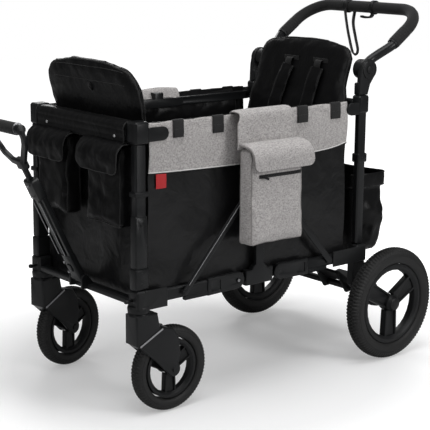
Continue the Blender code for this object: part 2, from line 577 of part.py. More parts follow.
# Cloth tub between the posts, and the grey band round the outside of each long wall.
bosses = both_sides([across(-PIVOT_X, TOP_Z, 0.0096, (0.2240, 0.2440)), across(PIVOT_X, TOP_Z, 0.0096, (0.2240, 0.2440))])
outer = block(TUB_X, (-CLOTH_Y[1], CLOTH_Y[1]), TUB_Z, 0.001)
inner = block((TUB_X[0] + 0.003, TUB_X[1] - 0.003), (-CLOTH_Y[0], CLOTH_Y[0]), (TUB_Z[0] + 0.003, TUB_Z[1] + 0.1))
notches = [block((0.3400, 0.3600), (-0.2322, 0.2322), (0.6350, 0.7900))]
node("tub", "cloth_black", [outer], [inner] + bosses + notches)
lower = [(-0.372, 0.652), (-0.250, 0.647), (0.0, 0.643), (0.250, 0.650), (0.344, 0.664)]
band = [extruded(lower + [(0.344, 0.7800), (-0.372, 0.7800)], *BAND_Y, "y")]
pair("grey_band", "cloth_grey", band, [across(-PIVOT_X, TOP_Z, 0.0096, (0.2240, 0.2440))])

# Side bag, hung over the top of the near wall at the middle.
o, b = BAG_Y[0], BAG_Y[1]
shape = [(-o, 0.430), (-0.3150, 0.424), (-b, 0.438), (-b + 0.002, 0.640), (-0.3050, 0.690), (-o, 0.7040)]
flap = [(-o, 0.690), (-0.2790, 0.6990), (-0.2740, 0.7900), (-0.2290, 0.7900), (-0.2290, 0.7865), (-o, 0.7865)]
lid = [(-0.2820, 0.692), (-0.3200, 0.692), (-0.3300, 0.682), (-0.3300, 0.640), (-0.3250, 0.634), (-0.2820, 0.634)]
bag = [
    extruded(shape, -0.099, 0.108, "x", 0.004),
    extruded(flap, -0.105, 0.092, "x", 0.0008),
    extruded(lid, -0.092, 0.130, "x", 0.006),
]
node("side_bag", "cloth_grey", bag, (), (0.0, -0.280, 0.780))

# Rear basket behind the posts, and the two pouches hung on the front panel.
low = [(0.4280, 0.300), (0.5700, 0.300), (0.5780, 0.430), (0.5740, 0.548), (0.4280, 0.548)]
room = [(0.4320, 0.304), (0.5660, 0.304), (0.5740, 0.430), (0.5700, 0.560), (0.4320, 0.560)]
node("rear_basket", "cloth_black", [extruded(low, -0.1940, 0.1940, "y", 0.0015)], [extruded(room, -0.1900, 0.1900, "y")])
side = [(-0.3830, 0.7274), (-0.3830, 0.5050), (-0.4250, 0.5000), (-0.4350, 0.5120), (-0.4370, 0.6600), (-0.4370, 0.7274)]
lid = [(-0.4000, 0.7274), (-0.4000, 0.6500), (-0.4500, 0.6450), (-0.4580, 0.6600), (-0.4500, 0.7100), (-0.4330, 0.7274)]
pouch = [extruded(side, 0.0360, 0.2060, "y", 0.004), extruded(lid, 0.0315, 0.2105, "y", 0.005)]
pair("front_pouch", "cloth_black", pouch)

# Seats and backrests inside the tub: crowned pads with rounded rims.


def pad(outline, middle, half):
    """A cushion across x: an outline of (y, z) pairs with rings that draw in towards a crown on both faces."""
    rings = [(0.000, 0.30), (0.012, 0.78), (0.035, 1.0), (0.100, 1.10)]
    cy = sum(y for y, z in outline) / len(outline)
    cz = sum(z for y, z in outline) / len(outline)
    bm = bmesh.new()
    loops = []
    for way in (-1, 1):
        side = []
        for inset, swell in rings[::way]:
            loop = []
            for y, z in outline:
                keep = 1.0 - inset / max(math.hypot(y - cy, z - cz), 0.05)
                loop.append(bm.verts.new((middle + way * half * swell, cy + (y - cy) * keep, cz + (z - cz) * keep)))
            side.append(loop)
        loops += side
    for a, b in zip(loops, loops[1:]):
        for n in range(len(outline)):
            m = (n + 1) % len(outline)
            bm.faces.new([a[n], a[m], b[m], b[n]])
    for loop, way in ((loops[0], -1), (loops[-1], 1)):
        top = bm.verts.new((middle + way * half * 1.16, cy, cz))
        for n in range(len(outline)):
            bm.faces.new([loop[n], loop[(n + 1) % len(outline)], top])
    return piece(bm)


for name, x, lean, top, wide, corner in (
    ("front", -0.303, -14.0, 0.941, 0.2130, 0.072),
    ("rear", 0.318, 14.5, 0.961, 0.1955, 0.052),
):
    half = [(-0.1850, 0.565), (0.0, 0.565), (0.1850, 0.565), (0.2050, 0.590), (0.2060, 0.680), (0.2060, 0.790)]
    half += [(wide, 0.825)] + arc((wide - corner, top - 0.012 - corner), corner, 0, 80, 5)
    back = half + [(0.0700, top - 0.0015), (0.0, top), (-0.0700, top - 0.0015)] + [(-y, z) for y, z in half[:2:-1]]
    turn = Matrix.Translation((x, 0.0, 0.572)) @ Matrix.Rotation(math.radians(lean), 4, "Y")
    turn = turn @ Matrix.Translation((0.0, 0.0, -0.572))
    node(f"{name}_backrest", "cloth_black", [placed(pad(back, 0.0, 0.0108), turn)], (), (x, 0.0, 0.572))
for name, low, high in (("front", -0.3690, -0.1350), ("rear", 0.1350, 0.3475)):
    round_off = 0.022
    plan = []
    for y, x, start in ((0.2085, high - 0.0225, 0), (-0.2085, high - 0.0225, 90), (-0.2085, low + 0.0225, 180), (0.2085, low + 0.0225, 270)):
        plan += arc((y, x), round_off, start, start + 90, 3)
    lie = Matrix.Rotation(math.radians(90), 4, "Y")
    cushion = pad([(y, x) for y, x in plan], -0.4785, 0.0195)
    node(f"{name}_seat", "cloth_black", [placed(cushion, lie)])
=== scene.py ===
"""Folding two-seat wagon: finish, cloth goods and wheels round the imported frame, lit for a pale studio."""

import json
import math

import bmesh
import bpy
from mathutils import Matrix, Vector, noise
from mathutils.bvhtree import BVHTree


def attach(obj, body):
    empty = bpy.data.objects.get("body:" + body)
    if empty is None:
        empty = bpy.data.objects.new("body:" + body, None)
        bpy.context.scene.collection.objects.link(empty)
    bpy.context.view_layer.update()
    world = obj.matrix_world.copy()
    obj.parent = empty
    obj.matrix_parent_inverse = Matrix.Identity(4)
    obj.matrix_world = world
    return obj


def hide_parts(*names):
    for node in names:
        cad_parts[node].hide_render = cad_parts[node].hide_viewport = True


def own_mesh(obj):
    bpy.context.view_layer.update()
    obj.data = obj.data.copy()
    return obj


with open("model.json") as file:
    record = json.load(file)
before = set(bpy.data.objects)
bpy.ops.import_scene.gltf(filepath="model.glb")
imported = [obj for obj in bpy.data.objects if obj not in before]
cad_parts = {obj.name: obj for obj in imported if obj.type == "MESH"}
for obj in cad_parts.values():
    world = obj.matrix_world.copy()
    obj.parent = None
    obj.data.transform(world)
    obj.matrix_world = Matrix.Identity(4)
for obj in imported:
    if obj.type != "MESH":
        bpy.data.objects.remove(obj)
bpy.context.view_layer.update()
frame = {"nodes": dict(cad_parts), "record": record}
bpy.ops.object.select_all(action="DESELECT")
BODY = {node: body for body, nodes in frame["record"]["behaviour"]["bodies"].items() for node in nodes}

# Camera and studio. The camera stands low in front of the near caster and looks a little down,
# with a long lens. Floor and backdrop read as white, and the floor keeps the soft shadow.
lens = bpy.data.cameras.new("camera")
lens.sensor_fit, lens.sensor_width, lens.lens = "HORIZONTAL", 36.0, 36.0 * 1295 / 430
camera = bpy.data.objects.new("camera", lens)
yaw, pitch, roll = math.radians(50.03), math.radians(12.43), math.radians(0.50)
ahead = Vector((math.cos(yaw) * math.cos(pitch), math.sin(yaw) * math.cos(pitch), -math.sin(pitch)))
aside = Vector((math.sin(yaw), -math.cos(yaw), 0.0))
above = aside.cross(ahead)
level = (
    aside * math.cos(roll) + above * math.sin(roll),
    above * math.cos(roll) - aside * math.sin(roll),
    -ahead,
)
camera.matrix_world = Matrix.Translation((-2.322, -2.830, 1.259)) @ Matrix(level).transposed().to_4x4()
bpy.context.scene.collection.objects.link(camera)
bpy.context.scene.camera = camera
bpy.context.scene.view_settings.view_transform = "Standard"

for name, place, turn, size, power in (
    ("softbox_above", (-0.4, -0.6, 3.0), (0.0, 0.0, 0.0), 2.0, 52.0),
    ("softbox_front", (-2.6, -0.4, 1.7), (0.0, -62.0, 8.0), 1.2, 13.0),
    ("softbox_side", (0.9, -2.9, 1.6), (62.0, 0.0, 14.0), 1.2, 38.0),
    ("rim_behind", (1.4, 2.6, 2.2), (-56.0, 0.0, -20.0), 1.4, 26.0),
):
    lamp = bpy.data.lights.new(name, "AREA")
    lamp.shape, lamp.size, lamp.energy = "SQUARE", size, power
    holder = bpy.data.objects.new(name, lamp)
    holder.location, holder.rotation_euler = place, [math.radians(a) for a in turn]
    bpy.context.scene.collection.objects.link(holder)

world = bpy.data.worlds.new("studio")
bpy.context.scene.world = world
world.use_nodes = True
nodes, links = world.node_tree.nodes, world.node_tree.links
paths, lit, seen, mixed = (nodes.new(kind) for kind in (
    "ShaderNodeLightPath", "ShaderNodeBackground", "ShaderNodeBackground", "ShaderNodeMixShader"))
lit.inputs["Strength"].default_value, seen.inputs["Strength"].default_value = 0.16, 1.0
lit.inputs["Color"].default_value = seen.inputs["Color"].default_value = (1, 1, 1, 1)
either = nodes.new("ShaderNodeMath")
either.operation = "MAXIMUM"
links.new(paths.outputs["Is Camera Ray"], either.inputs[0])
links.new(paths.outputs["Is Transmission Ray"], either.inputs[1])
links.new(either.outputs[0], mixed.inputs["Fac"])
links.new(lit.outputs[0], mixed.inputs[1])
links.new(seen.outputs[0], mixed.inputs[2])
links.new(mixed.outputs[0], nodes["World Output"].inputs["Surface"])

bpy.ops.mesh.primitive_plane_add(size=16.0)
floor = bpy.context.object
floor.name = "floor"
pale = bpy.data.materials.new("floor_white")
pale.use_nodes = True
nodes, links = pale.node_tree.nodes, pale.node_tree.links
nodes["Principled BSDF"].inputs["Base Color"].default_value = (0.70, 0.70, 0.705, 1)
nodes["Principled BSDF"].inputs["Roughness"].default_value = 0.9
nodes["Principled BSDF"].inputs["Emission Color"].default_value = (1, 1, 1, 1)
# Away from the wagon the floor turns as bright as the backdrop, so that no horizon shows.
paths, lift, far, away = (nodes.new(kind) for kind in (
    "ShaderNodeLightPath", "ShaderNodeMath", "ShaderNodeMapRange", "ShaderNodeVectorMath"))
where = nodes.new("ShaderNodeTexCoord")
away.operation = "LENGTH"
links.new(where.outputs["Object"], away.inputs[0])
far.inputs["From Min"].default_value, far.inputs["From Max"].default_value = 0.55, 1.30
far.inputs["To Min"].default_value, far.inputs["To Max"].default_value = 0.28, 1.00
links.new(away.outputs["Value"], far.inputs["Value"])
lift.operation = "MULTIPLY"
links.new(paths.outputs["Is Camera Ray"], lift.inputs[0])
links.new(far.outputs["Result"], lift.inputs[1])
links.new(lift.outputs[0], nodes["Principled BSDF"].inputs["Emission Strength"])
floor.data.materials.append(pale)

# Frame tubes, blocks and links: steel tube and pressed plate, cut and welded, then powder coated in
# satin black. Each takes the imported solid's form, with its arrises rounded as the coating leaves them.


def finish(name, colour, roughness, metallic=0.0, grain=600.0, depth=0.05, mottle=0.15, sheen=0.0):
    """A surface with a fine grain in its relief and a little unevenness in its colour and gloss."""
    made = bpy.data.materials.new(name)
    made.use_nodes = True
    nodes, links = made.node_tree.nodes, made.node_tree.links
    shader = nodes["Principled BSDF"]
    shader.inputs["Metallic"].default_value = metallic
    shader.inputs["Sheen Weight"].default_value = sheen
    shader.inputs["Specular IOR Level"].default_value = 0.24
    place, fine, broad, bump = (nodes.new(kind) for kind in (
        "ShaderNodeTexCoord", "ShaderNodeTexNoise", "ShaderNodeTexNoise", "ShaderNodeBump"))
    fine.inputs["Scale"].default_value, broad.inputs["Scale"].default_value = grain, 9.0
    fine.inputs["Detail"].default_value, broad.inputs["Detail"].default_value = 3.0, 5.0
    links.new(place.outputs["Object"], fine.inputs["Vector"])
    links.new(place.outputs["Object"], broad.inputs["Vector"])
    tint = nodes.new("ShaderNodeMix")
    tint.data_type = "RGBA"
    tint.inputs["A"].default_value = (*[c * (1 - mottle) for c in colour], 1)
    tint.inputs["B"].default_value = (*[c * (1 + mottle) for c in colour], 1)
    links.new(broad.outputs["Fac"], tint.inputs["Factor"])
    links.new(tint.outputs["Result"], shader.inputs["Base Color"])
    gloss = nodes.new("ShaderNodeMapRange")
    gloss.inputs["To Min"].default_value = roughness - 0.06
    gloss.inputs["To Max"].default_value = roughness + 0.06
    links.new(broad.outputs["Fac"], gloss.inputs["Value"])
    links.new(gloss.outputs["Result"], shader.inputs["Roughness"])
    bump.inputs["Strength"].default_value, bump.inputs["Distance"].default_value = depth, 0.0006
    links.new(fine.outputs["Fac"], bump.inputs["Height"])
    links.new(bump.outputs["Normal"], shader.inputs["Normal"])
    return made


def alone(piece):
    """Makes a piece the only one selected, and the active one, for the operators that follow."""
    bpy.ops.object.select_all(action="DESELECT")
    bpy.context.view_layer.objects.active = piece
    piece.select_set(True)


def refined(node, surface, edge=0.0008, angle=32.0):
    """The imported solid's form as one welded mesh, with rounded arrises, in place of the node."""
    piece = bpy.data.objects.new(node + "_finished", frame["nodes"][node].data.copy())
    bpy.context.scene.collection.objects.link(piece)
    alone(piece)
    bpy.ops.object.mode_set(mode="EDIT")
    bpy.ops.mesh.select_all(action="SELECT")
    bpy.ops.mesh.remove_doubles(threshold=0.00004)
    bpy.ops.mesh.dissolve_limited(angle_limit=math.radians(0.6))
    bpy.ops.object.mode_set(mode="OBJECT")
    rounding = piece.modifiers.new("arris", "BEVEL")
    rounding.width, rounding.segments, rounding.limit_method = edge, 2, "ANGLE"
    rounding.angle_limit = math.radians(angle)
    bpy.ops.object.modifier_apply(modifier="arris")
    piece.data.materials.clear()
    piece.data.materials.append(surface)
    bpy.ops.object.shade_smooth_by_angle(angle=math.radians(30))
    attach(piece, BODY[node])
    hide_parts(node)
    return piece


coat = finish("powder_coat", (0.0090, 0.0095, 0.0102), 0.30, 0.10, 900.0, 0.10)
TUBES = ("front_post_near front_post_far rear_post_near rear_post_far rear_top_bar rear_axle_beam "
         "front_bottom_bar front_floor_frame rear_floor_frame centre_frame top_rail_front_near "
         "top_rail_front_far top_rail_rear_near top_rail_rear_far arm_front_near arm_front_far "
         "arm_rear_near arm_rear_far caster_fork_near caster_fork_far").split()
for node in TUBES:
    refined(node, coat)

# Mouldings: corner housings, joint covers, buttons, sliders, lock pins and the wide front panel,
# injection moulded in black nylon with a fine spark grain and screwed or snapped to the tubes.
grained = finish("grained_nylon", (0.0080, 0.0084, 0.0090), 0.46, 0.0, 1500.0, 0.16)
MOULDINGS = ("front_corner_near front_corner_far rear_corner_near rear_corner_far handle_cover_near "
             "handle_cover_far push_button_near push_button_far arm_slider_near arm_slider_far "
             "swivel_pin_near swivel_pin_far brake_pedal front_top_panel").split()
for node in MOULDINGS:
    refined(node, grained, 0.0012)

# Tyres: solid foamed rubber, moulded in one piece. Rows of small transverse blocks cover the tread
# and run over both shoulders, two grooves part the rows, and a fine ring is pressed in each sidewall.
rubber = finish("tyre_rubber", (0.0150, 0.0150, 0.0150), 0.54, 0.0, 700.0, 0.25, 0.25)
SECTION = [(0.0, 1.0), (0.120, 0.9995), (0.225, 0.9985), (0.262, 0.985), (0.325, 0.984), (0.350, 0.997),
           (0.440, 0.993), (0.540, 0.988), (0.640, 0.981), (0.745, 0.970), (0.850, 0.953), (0.925, 0.931),
           (0.965, 0.908), (0.985, 0.890), (0.945, 0.882), (0.985, 0.874), (1.000, 0.850), (0.990, 0.812),
           (0.940, 0.775), (0.840, 0.742), (0.700, 0.728), (0.0, 0.728)]


def tyre(node, body, centre, radius, half, pitches):
    ring = SECTION + [(-across, out) for across, out in reversed(SECTION[1:-1])]
    steps = pitches * 4
    bpy.ops.mesh.primitive_grid_add(x_subdivisions=len(ring), y_subdivisions=steps)
    piece = bpy.context.object
    piece.name = node + "_moulded"
    for index, vertex in enumerate(piece.data.vertices):
        step, place = divmod(index, len(ring) + 1)
        across, out = ring[place % len(ring)]
        row = 0.5 if abs(across) < 0.24 else 0.0
        groove = out > 0.900 and abs(across) not in (0.262, 0.325) and ((step % steps) / 4 + row) % 1.0 < 0.5
        reach = radius * (out - (0.017 if groove else 0.0))
        turn = 2 * math.pi * (step % steps) / steps
        vertex.co = (centre[0] + reach * math.cos(turn), centre[1] - half * across,
                     centre[2] + reach * math.sin(turn))
    bpy.ops.object.mode_set(mode="EDIT")
    bpy.ops.mesh.select_all(action="SELECT")
    bpy.ops.mesh.remove_doubles(threshold=0.00001)
    bpy.ops.mesh.normals_make_consistent(inside=False)
    bpy.ops.object.mode_set(mode="OBJECT")
    piece.data.materials.append(rubber)
    bpy.ops.object.shade_smooth_by_angle(angle=math.radians(35))
    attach(piece, body)
    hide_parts(node)
    return piece


tyre("rear_tyre_near", "rear_wheel_near", (0.487, -0.296, 0.169), 0.169, 0.0235, 100)
tyre("rear_tyre_far", "rear_wheel_far", (0.487, 0.296, 0.169), 0.169, 0.0235, 100)
tyre("front_tyre_near", "front_wheel_near", (-0.300, -0.230, 0.117), 0.117, 0.0200, 76)
swung = tyre("front_tyre_far", "front_wheel_far", (-0.300, 0.230, 0.117), 0.117, 0.0200, 76)
stem = Matrix.Translation((-0.399, 0.230, 0.0))
swung.data.transform(stem @ Matrix.Rotation(math.radians(11.0), 4, "Z") @ stem.inverted())

# Rims: glass-filled black nylon, moulded with three broad double-ribbed spokes round a boss. The tyre
# is stretched over the rim's bed.
for node in ("rear_rim_near", "rear_rim_far", "front_rim_near", "front_rim_far"):
    refined(node, grained, 0.0010, 34.0)

# Tub: black coated nylon, sewn as an open box and hung from the rails, with a bound top edge. The
# long walls bow out a little, slack gathers low down near the corners, and the floor is boarded.
FRONT, BACK, WIDE, LOW, HIGH = -0.3725, 0.3510, 0.2345, 0.3300, 0.7800


def nylon(name, colour, rough, weave=1400.0, crease=0.5):
    """Woven cloth: fine crossed threads, wide soft creases, and a dull gloss that shifts with them."""
    made = finish(name, colour, rough, 0.0, weave, 0.10, 0.22, 0.02)
    nodes, links = made.node_tree.nodes, made.node_tree.links
    shader = nodes["Principled BSDF"]
    shader.inputs["Sheen Roughness"].default_value = 0.4
    shader.inputs["Specular IOR Level"].default_value = 0.13
    place = next(n for n in nodes if n.type == "TEX_COORD")
    bump = next(n for n in nodes if n.type == "BUMP")
    fold, broad = nodes.new("ShaderNodeTexNoise"), nodes.new("ShaderNodeBump")
    fold.inputs["Scale"].default_value, fold.inputs["Detail"].default_value = 16.0, 3.0
    fold.inputs["Distortion"].default_value = 0.35
    broad.inputs["Strength"].default_value, broad.inputs["Distance"].default_value = crease, 0.006
    links.new(place.outputs["Object"], fold.inputs["Vector"])
    links.new(fold.outputs["Fac"], broad.inputs["Height"])
    links.new(broad.outputs["Normal"], bump.inputs["Normal"])
    return made


def settle(piece, body, slot, *replaced):
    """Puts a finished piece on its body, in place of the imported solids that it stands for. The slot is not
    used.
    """
    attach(piece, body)
    if replaced:
        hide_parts(*replaced)
    return piece


def pulled(point, scale, depth):
    """How far cloth stands off its plane at a point: two sizes of soft fold, drawn out along the pull."""
    flow = Vector((point.x * scale, point.y * scale, point.z * scale * 0.45))
    return (noise.noise(flow) + 0.5 * noise.noise(flow * 2.3 + Vector((7.1, 0, 0)))) * depth


black_nylon = nylon("black_nylon", (0.0044, 0.0044, 0.0047), 0.36, crease=0.75)
bpy.ops.mesh.primitive_cube_add(size=1.0)
tub = bpy.context.object
tub.name = "tub_cloth"
for vertex in tub.data.vertices:
    x, y, z = vertex.co
    vertex.co = (FRONT if x < 0 else BACK, math.copysign(WIDE, y), LOW if z < 0 else HIGH)
bpy.ops.object.mode_set(mode="EDIT")
bpy.ops.mesh.select_all(action="DESELECT")
shell = bmesh.from_edit_mesh(tub.data)
for face in shell.faces:
    face.select = face.normal.z > 0.9
bmesh.update_edit_mesh(tub.data)
bpy.ops.mesh.delete(type="FACE")
bpy.ops.mesh.select_all(action="SELECT")
bpy.ops.mesh.subdivide(number_cuts=63)
bpy.ops.object.mode_set(mode="OBJECT")
for vertex in tub.data.vertices:
    x, y, z = vertex.co
    up = (z - LOW) / (HIGH - LOW)
    along = (x - FRONT) / (BACK - FRONT)
    middle = math.sin(math.pi * min(max(along, 0.0), 1.0))
    belly = math.sin(math.pi * min(max(up, 0.0), 1.0))
    if abs(abs(y) - WIDE) < 1e-4:
        fold = pulled(vertex.co, 9.0, 0.0065) * belly
        waver = 26.0 * (x * 0.55 + z) + 3.0 * noise.noise(vertex.co * 5.0)
        drag = 0.0075 * math.sin(waver) * (1 - up) * (1 - middle * 0.75)
        vertex.co.y = math.copysign(abs(y) - 0.0020 * belly - max(fold + drag, -0.006) * 0.55 - 0.0015, y)
    if abs(x - FRONT) < 1e-4 or abs(x - BACK) < 1e-4:
        fold = pulled(vertex.co, 8.0, 0.0060) * belly
        vertex.co.x += (0.004 + fold * 0.7) * (1 if x < 0 else -1) * belly
        if x > 0:
            vertex.co.z = LOW + (z - LOW) * (0.635 - LOW) / (HIGH - LOW) if abs(y) < 0.225 else z
    if up < 0.08 and x < -0.33:
        vertex.co.z -= 0.022 * (1 - up / 0.08) * (-0.33 - x) / 0.043
wall = tub.modifiers.new("cloth", "SOLIDIFY")
wall.thickness, wall.offset = 0.0016, -1.0
bpy.ops.object.modifier_apply(modifier="cloth")
tub_nylon = nylon("tub_nylon", (0.0060, 0.0060, 0.0064), 0.31, crease=0.8)
tub_nylon.node_tree.nodes["Principled BSDF"].inputs["Specular IOR Level"].default_value = 0.24
tub.data.materials.append(tub_nylon)
bpy.ops.object.shade_smooth_by_angle(angle=math.radians(50))
settle(tub, "rear_frame", "cloth_black", "tub")
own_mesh(tub)

# Grey bands: melange canvas round the outside of each long wall, stitched to the tub along a white
# piping, and drawn over the hidden top rails. Their slack shows as shallow diagonal folds.


def melange(name):
    """Grey canvas spun from pale and dark threads: crossed weave, flecks along the yarn, no gloss."""
    made = finish(name, (0.365, 0.352, 0.348), 0.86, 0.0, 1300.0, 0.30, 0.08, 0.20)
    nodes, links = made.node_tree.nodes, made.node_tree.links
    place = next(n for n in nodes if n.type == "TEX_COORD")
    tint = next(n for n in nodes if n.type == "MIX")
    bump = next(n for n in nodes if n.type == "BUMP")
    across, down, flecks, shade, blend = (nodes.new(kind) for kind in (
        "ShaderNodeMapping", "ShaderNodeMapping", "ShaderNodeMath", "ShaderNodeMapRange", "ShaderNodeMix"))
    across.inputs["Scale"].default_value, down.inputs["Scale"].default_value = (150, 150, 700), (700, 700, 150)
    flecks.operation = "ADD"
    for number, way in enumerate((across, down)):
        yarn = nodes.new("ShaderNodeTexNoise")
        yarn.inputs["Scale"].default_value, yarn.inputs["Detail"].default_value = 1.0, 2.0
        links.new(place.outputs["Object"], way.inputs["Vector"])
        links.new(way.outputs["Vector"], yarn.inputs["Vector"])
        links.new(yarn.outputs["Fac"], flecks.inputs[number])
    shade.inputs["From Min"].default_value, shade.inputs["From Max"].default_value = 0.72, 1.28
    links.new(flecks.outputs[0], shade.inputs["Value"])
    blend.data_type, blend.blend_type = "RGBA", "MULTIPLY"
    blend.inputs["Factor"].default_value = 1.0
    scale = nodes.new("ShaderNodeMix")
    scale.data_type = "RGBA"
    scale.inputs["A"].default_value = (0.58, 0.575, 0.575, 1)
    scale.inputs["B"].default_value = (1.44, 1.43, 1.42, 1)
    links.new(shade.outputs["Result"], scale.inputs["Factor"])
    links.new(tint.outputs["Result"], blend.inputs["A"])
    links.new(scale.outputs["Result"], blend.inputs["B"])
    links.new(blend.outputs["Result"], nodes["Principled BSDF"].inputs["Base Color"])
    fold, broad = nodes.new("ShaderNodeTexNoise"), nodes.new("ShaderNodeBump")
    fold.inputs["Scale"].default_value, fold.inputs["Distortion"].default_value = 11.0, 0.8
    broad.inputs["Strength"].default_value, broad.inputs["Distance"].default_value = 0.35, 0.006
    links.new(place.outputs["Object"], fold.inputs["Vector"])
    links.new(fold.outputs["Fac"], broad.inputs["Height"])
    links.new(broad.outputs["Normal"], bump.inputs["Normal"])
    return made


def shaped(name, bm, surface, angle=50.0):
    """A bmesh as an object of its own, turned outward and smooth where it bends gently."""
    bmesh.ops.recalc_face_normals(bm, faces=bm.faces)
    mesh = bpy.data.meshes.new(name)
    bm.to_mesh(mesh)
    bm.free()
    piece = bpy.data.objects.new(name, mesh)
    bpy.context.scene.collection.objects.link(piece)
    alone(piece)
    mesh.materials.append(surface)
    bpy.ops.object.shade_smooth_by_angle(angle=math.radians(angle))
    return piece


def grid(columns, rows, at):
    """A sheet of quads: at(u, v) gives the point for u and v from 0 to 1."""
    bm = bmesh.new()
    web = [[bm.verts.new(at(u / columns, v / rows)) for v in range(rows + 1)] for u in range(columns + 1)]
    for u in range(columns):
        for v in range(rows):
            bm.faces.new([web[u][v], web[u + 1][v], web[u + 1][v + 1], web[u][v + 1]])
    return bm


def thickened(piece, thickness, offset=0.0):
    """The sheet given its real thickness."""
    wall = piece.modifiers.new("cloth", "SOLIDIFY")
    wall.thickness, wall.offset = thickness, offset
    bpy.context.view_layer.objects.active = piece
    bpy.ops.object.modifier_apply(modifier="cloth")
    return piece


def piped(name, points, radius, surface, closed=False, swell=None, fine=3):
    """A round cord, piping or tube swept along a line of points."""
    line = bpy.data.curves.new(name, "CURVE")
    line.dimensions, line.bevel_depth, line.bevel_resolution, line.use_fill_caps = "3D", radius, fine, True
    spline = line.splines.new("POLY")
    spline.points.add(len(points) - 1)
    for n, point in enumerate(points):
        spline.points[n].co = (*point, 1.0)
        spline.points[n].radius = swell[n] if swell else 1.0
    spline.use_cyclic_u = closed
    piece = bpy.data.objects.new(name, line)
    bpy.context.scene.collection.objects.link(piece)
    alone(piece)
    bpy.ops.object.convert(target="MESH")
    piece = bpy.context.object
    piece.data.materials.clear()
    piece.data.materials.append(surface)
    bpy.ops.object.shade_smooth_by_angle(angle=math.radians(60))
    return piece


def webbing(name, points, side, width, thick, surface):
    """Flat strap along a line of points, its width along side, with soft edges."""
    path = [Vector(p) for p in points]
    profile = [(-0.5, -0.3), (-0.47, -0.5), (0.47, -0.5), (0.5, -0.3),
               (0.5, 0.3), (0.47, 0.5), (-0.47, 0.5), (-0.5, 0.3)]
    bm = bmesh.new()
    loops = []
    for n, here in enumerate(path):
        along = (path[min(n + 1, len(path) - 1)] - path[max(n - 1, 0)]).normalized()
        out = along.cross(Vector(side)).normalized()
        wide = out.cross(along).normalized()
        loops.append([bm.verts.new(here + wide * a * width + out * b * thick) for a, b in profile])
    for a, b in zip(loops, loops[1:]):
        for n in range(len(profile)):
            m = (n + 1) % len(profile)
            bm.faces.new([a[n], a[m], b[m], b[n]])
    bm.faces.new(loops[0])
    bm.faces.new(loops[-1])
    return shaped(name, bm, surface, 40.0)


def through(points, steps):
    """A smooth line through a few points, by a spline that passes each of them."""
    path = [Vector(p) for p in points]
    made = []
    for n in range(len(path) - 1):
        a, b, c, d = path[max(n - 1, 0)], path[n], path[n + 1], path[min(n + 2, len(path) - 1)]
        for k in range(steps):
            t = k / steps
            made.append(0.5 * (2 * b + (c - a) * t + (2 * a - 5 * b + 4 * c - d) * t * t
                               + (3 * b - a - 3 * c + d) * t ** 3))
    return made + [path[-1]]


canvas = melange("grey_canvas")
piping_white = finish("piping_white", (0.62, 0.61, 0.60), 0.55, 0.0, 2500.0, 0.2)
strap_black = finish("strap_black", (0.0065, 0.0065, 0.0068), 0.62, 0.0, 2200.0, 0.5, 0.2, 0.15)
red_cloth = finish("tab_red", (0.42, 0.022, 0.026), 0.70, 0.0, 2400.0, 0.35, 0.10, 0.1)
HEM = through([(-0.372, 0, 0.652), (-0.250, 0, 0.647), (0.0, 0, 0.643), (0.250, 0, 0.650),
               (0.344, 0, 0.664)], 12)


def hem(x):
    """Height of the band's lower edge at x."""
    for a, b in zip(HEM, HEM[1:]):
        if x <= b.x:
            return a.z + (b.z - a.z) * max(x - a.x, 0.0) / (b.x - a.x)
    return HEM[-1].z


STRAPS = ((-0.276, 0.034), (-0.1425, 0.037), (0.165, 0.040), (0.294, 0.038))
for side, sign in (("near", -1.0), ("far", 1.0)):
    def on_band(u, v):
        x = -0.371 + 0.714 * u
        low, high = hem(x), 0.7795
        z = low + (high - low) * v
        under = max(math.exp(-((x - at) / 0.030) ** 2) for at, wide in STRAPS)
        belly = math.sin(math.pi * min(v * 1.15, 1.0))
        slack = (0.0024 + pulled(Vector((x, 0.3 * sign, z)), 12.0, 0.0030)) * belly * (1.0 - 0.75 * under)
        tuck = 0.0022 * max(v - 0.93, 0.0) / 0.07
        return (x, sign * (0.2368 + slack - tuck), z + 0.0010 * math.sin(x * 60.0) * (v > 0.98))

    band = thickened(shaped("grey_band_cloth_" + side, grid(150, 34, on_band), canvas), 0.0012)
    settle(band, "rear_frame", "cloth_grey", "grey_band_" + side)
    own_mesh(band)
    trims = [piped("band_piping_" + side, [(p.x, sign * 0.2374, p.z) for p in HEM], 0.0017, piping_white)]
    seam = [(p.x, sign * 0.2366, p.z - 0.0035) for p in HEM]
    trims.append(piped("band_seam_" + side, seam, 0.0019, black_nylon))
    for number, (at, wide) in enumerate(STRAPS):
        line = [(at, sign * 0.2315, 0.7806), (at, sign * 0.2362, 0.7818), (at, sign * 0.2395, 0.7785),
                (at, sign * 0.2402, 0.7660), (at, sign * 0.2412, 0.7500), (at, sign * 0.2404, 0.7360)]
        trims.append(webbing(f"band_strap_{side}_{number}", through(line, 5), (1, 0, 0), wide,
                             0.0022, strap_black))
        patch = [(at, sign * 0.2424, 0.7575), (at, sign * 0.2426, 0.7470), (at, sign * 0.2420, 0.7375)]
        trims.append(webbing(f"strap_patch_{side}_{number}", through(patch, 4), (1, 0, 0), wide * 0.93,
                             0.0014, strap_black))
    if side == "near":
        tab = [(-0.3310, -0.2375, 0.6465), (-0.3310, -0.2385, 0.6350), (-0.3310, -0.2380, 0.6080)]
        trims.append(webbing("side_tab", through(tab, 5), (1, 0, 0), 0.0330, 0.0014, red_cloth))
    for trim in trims:
        dark = "strap" in trim.name or "seam" in trim.name
        settle(trim, "rear_frame", "cloth_black" if dark else "cloth_grey")
        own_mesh(trim)

# Side bag: a grey canvas satchel hung over the near wall by its flap. The body is a padded box with
# piped edges, closed by a padded lid with round corners; a black zip runs below the lid.


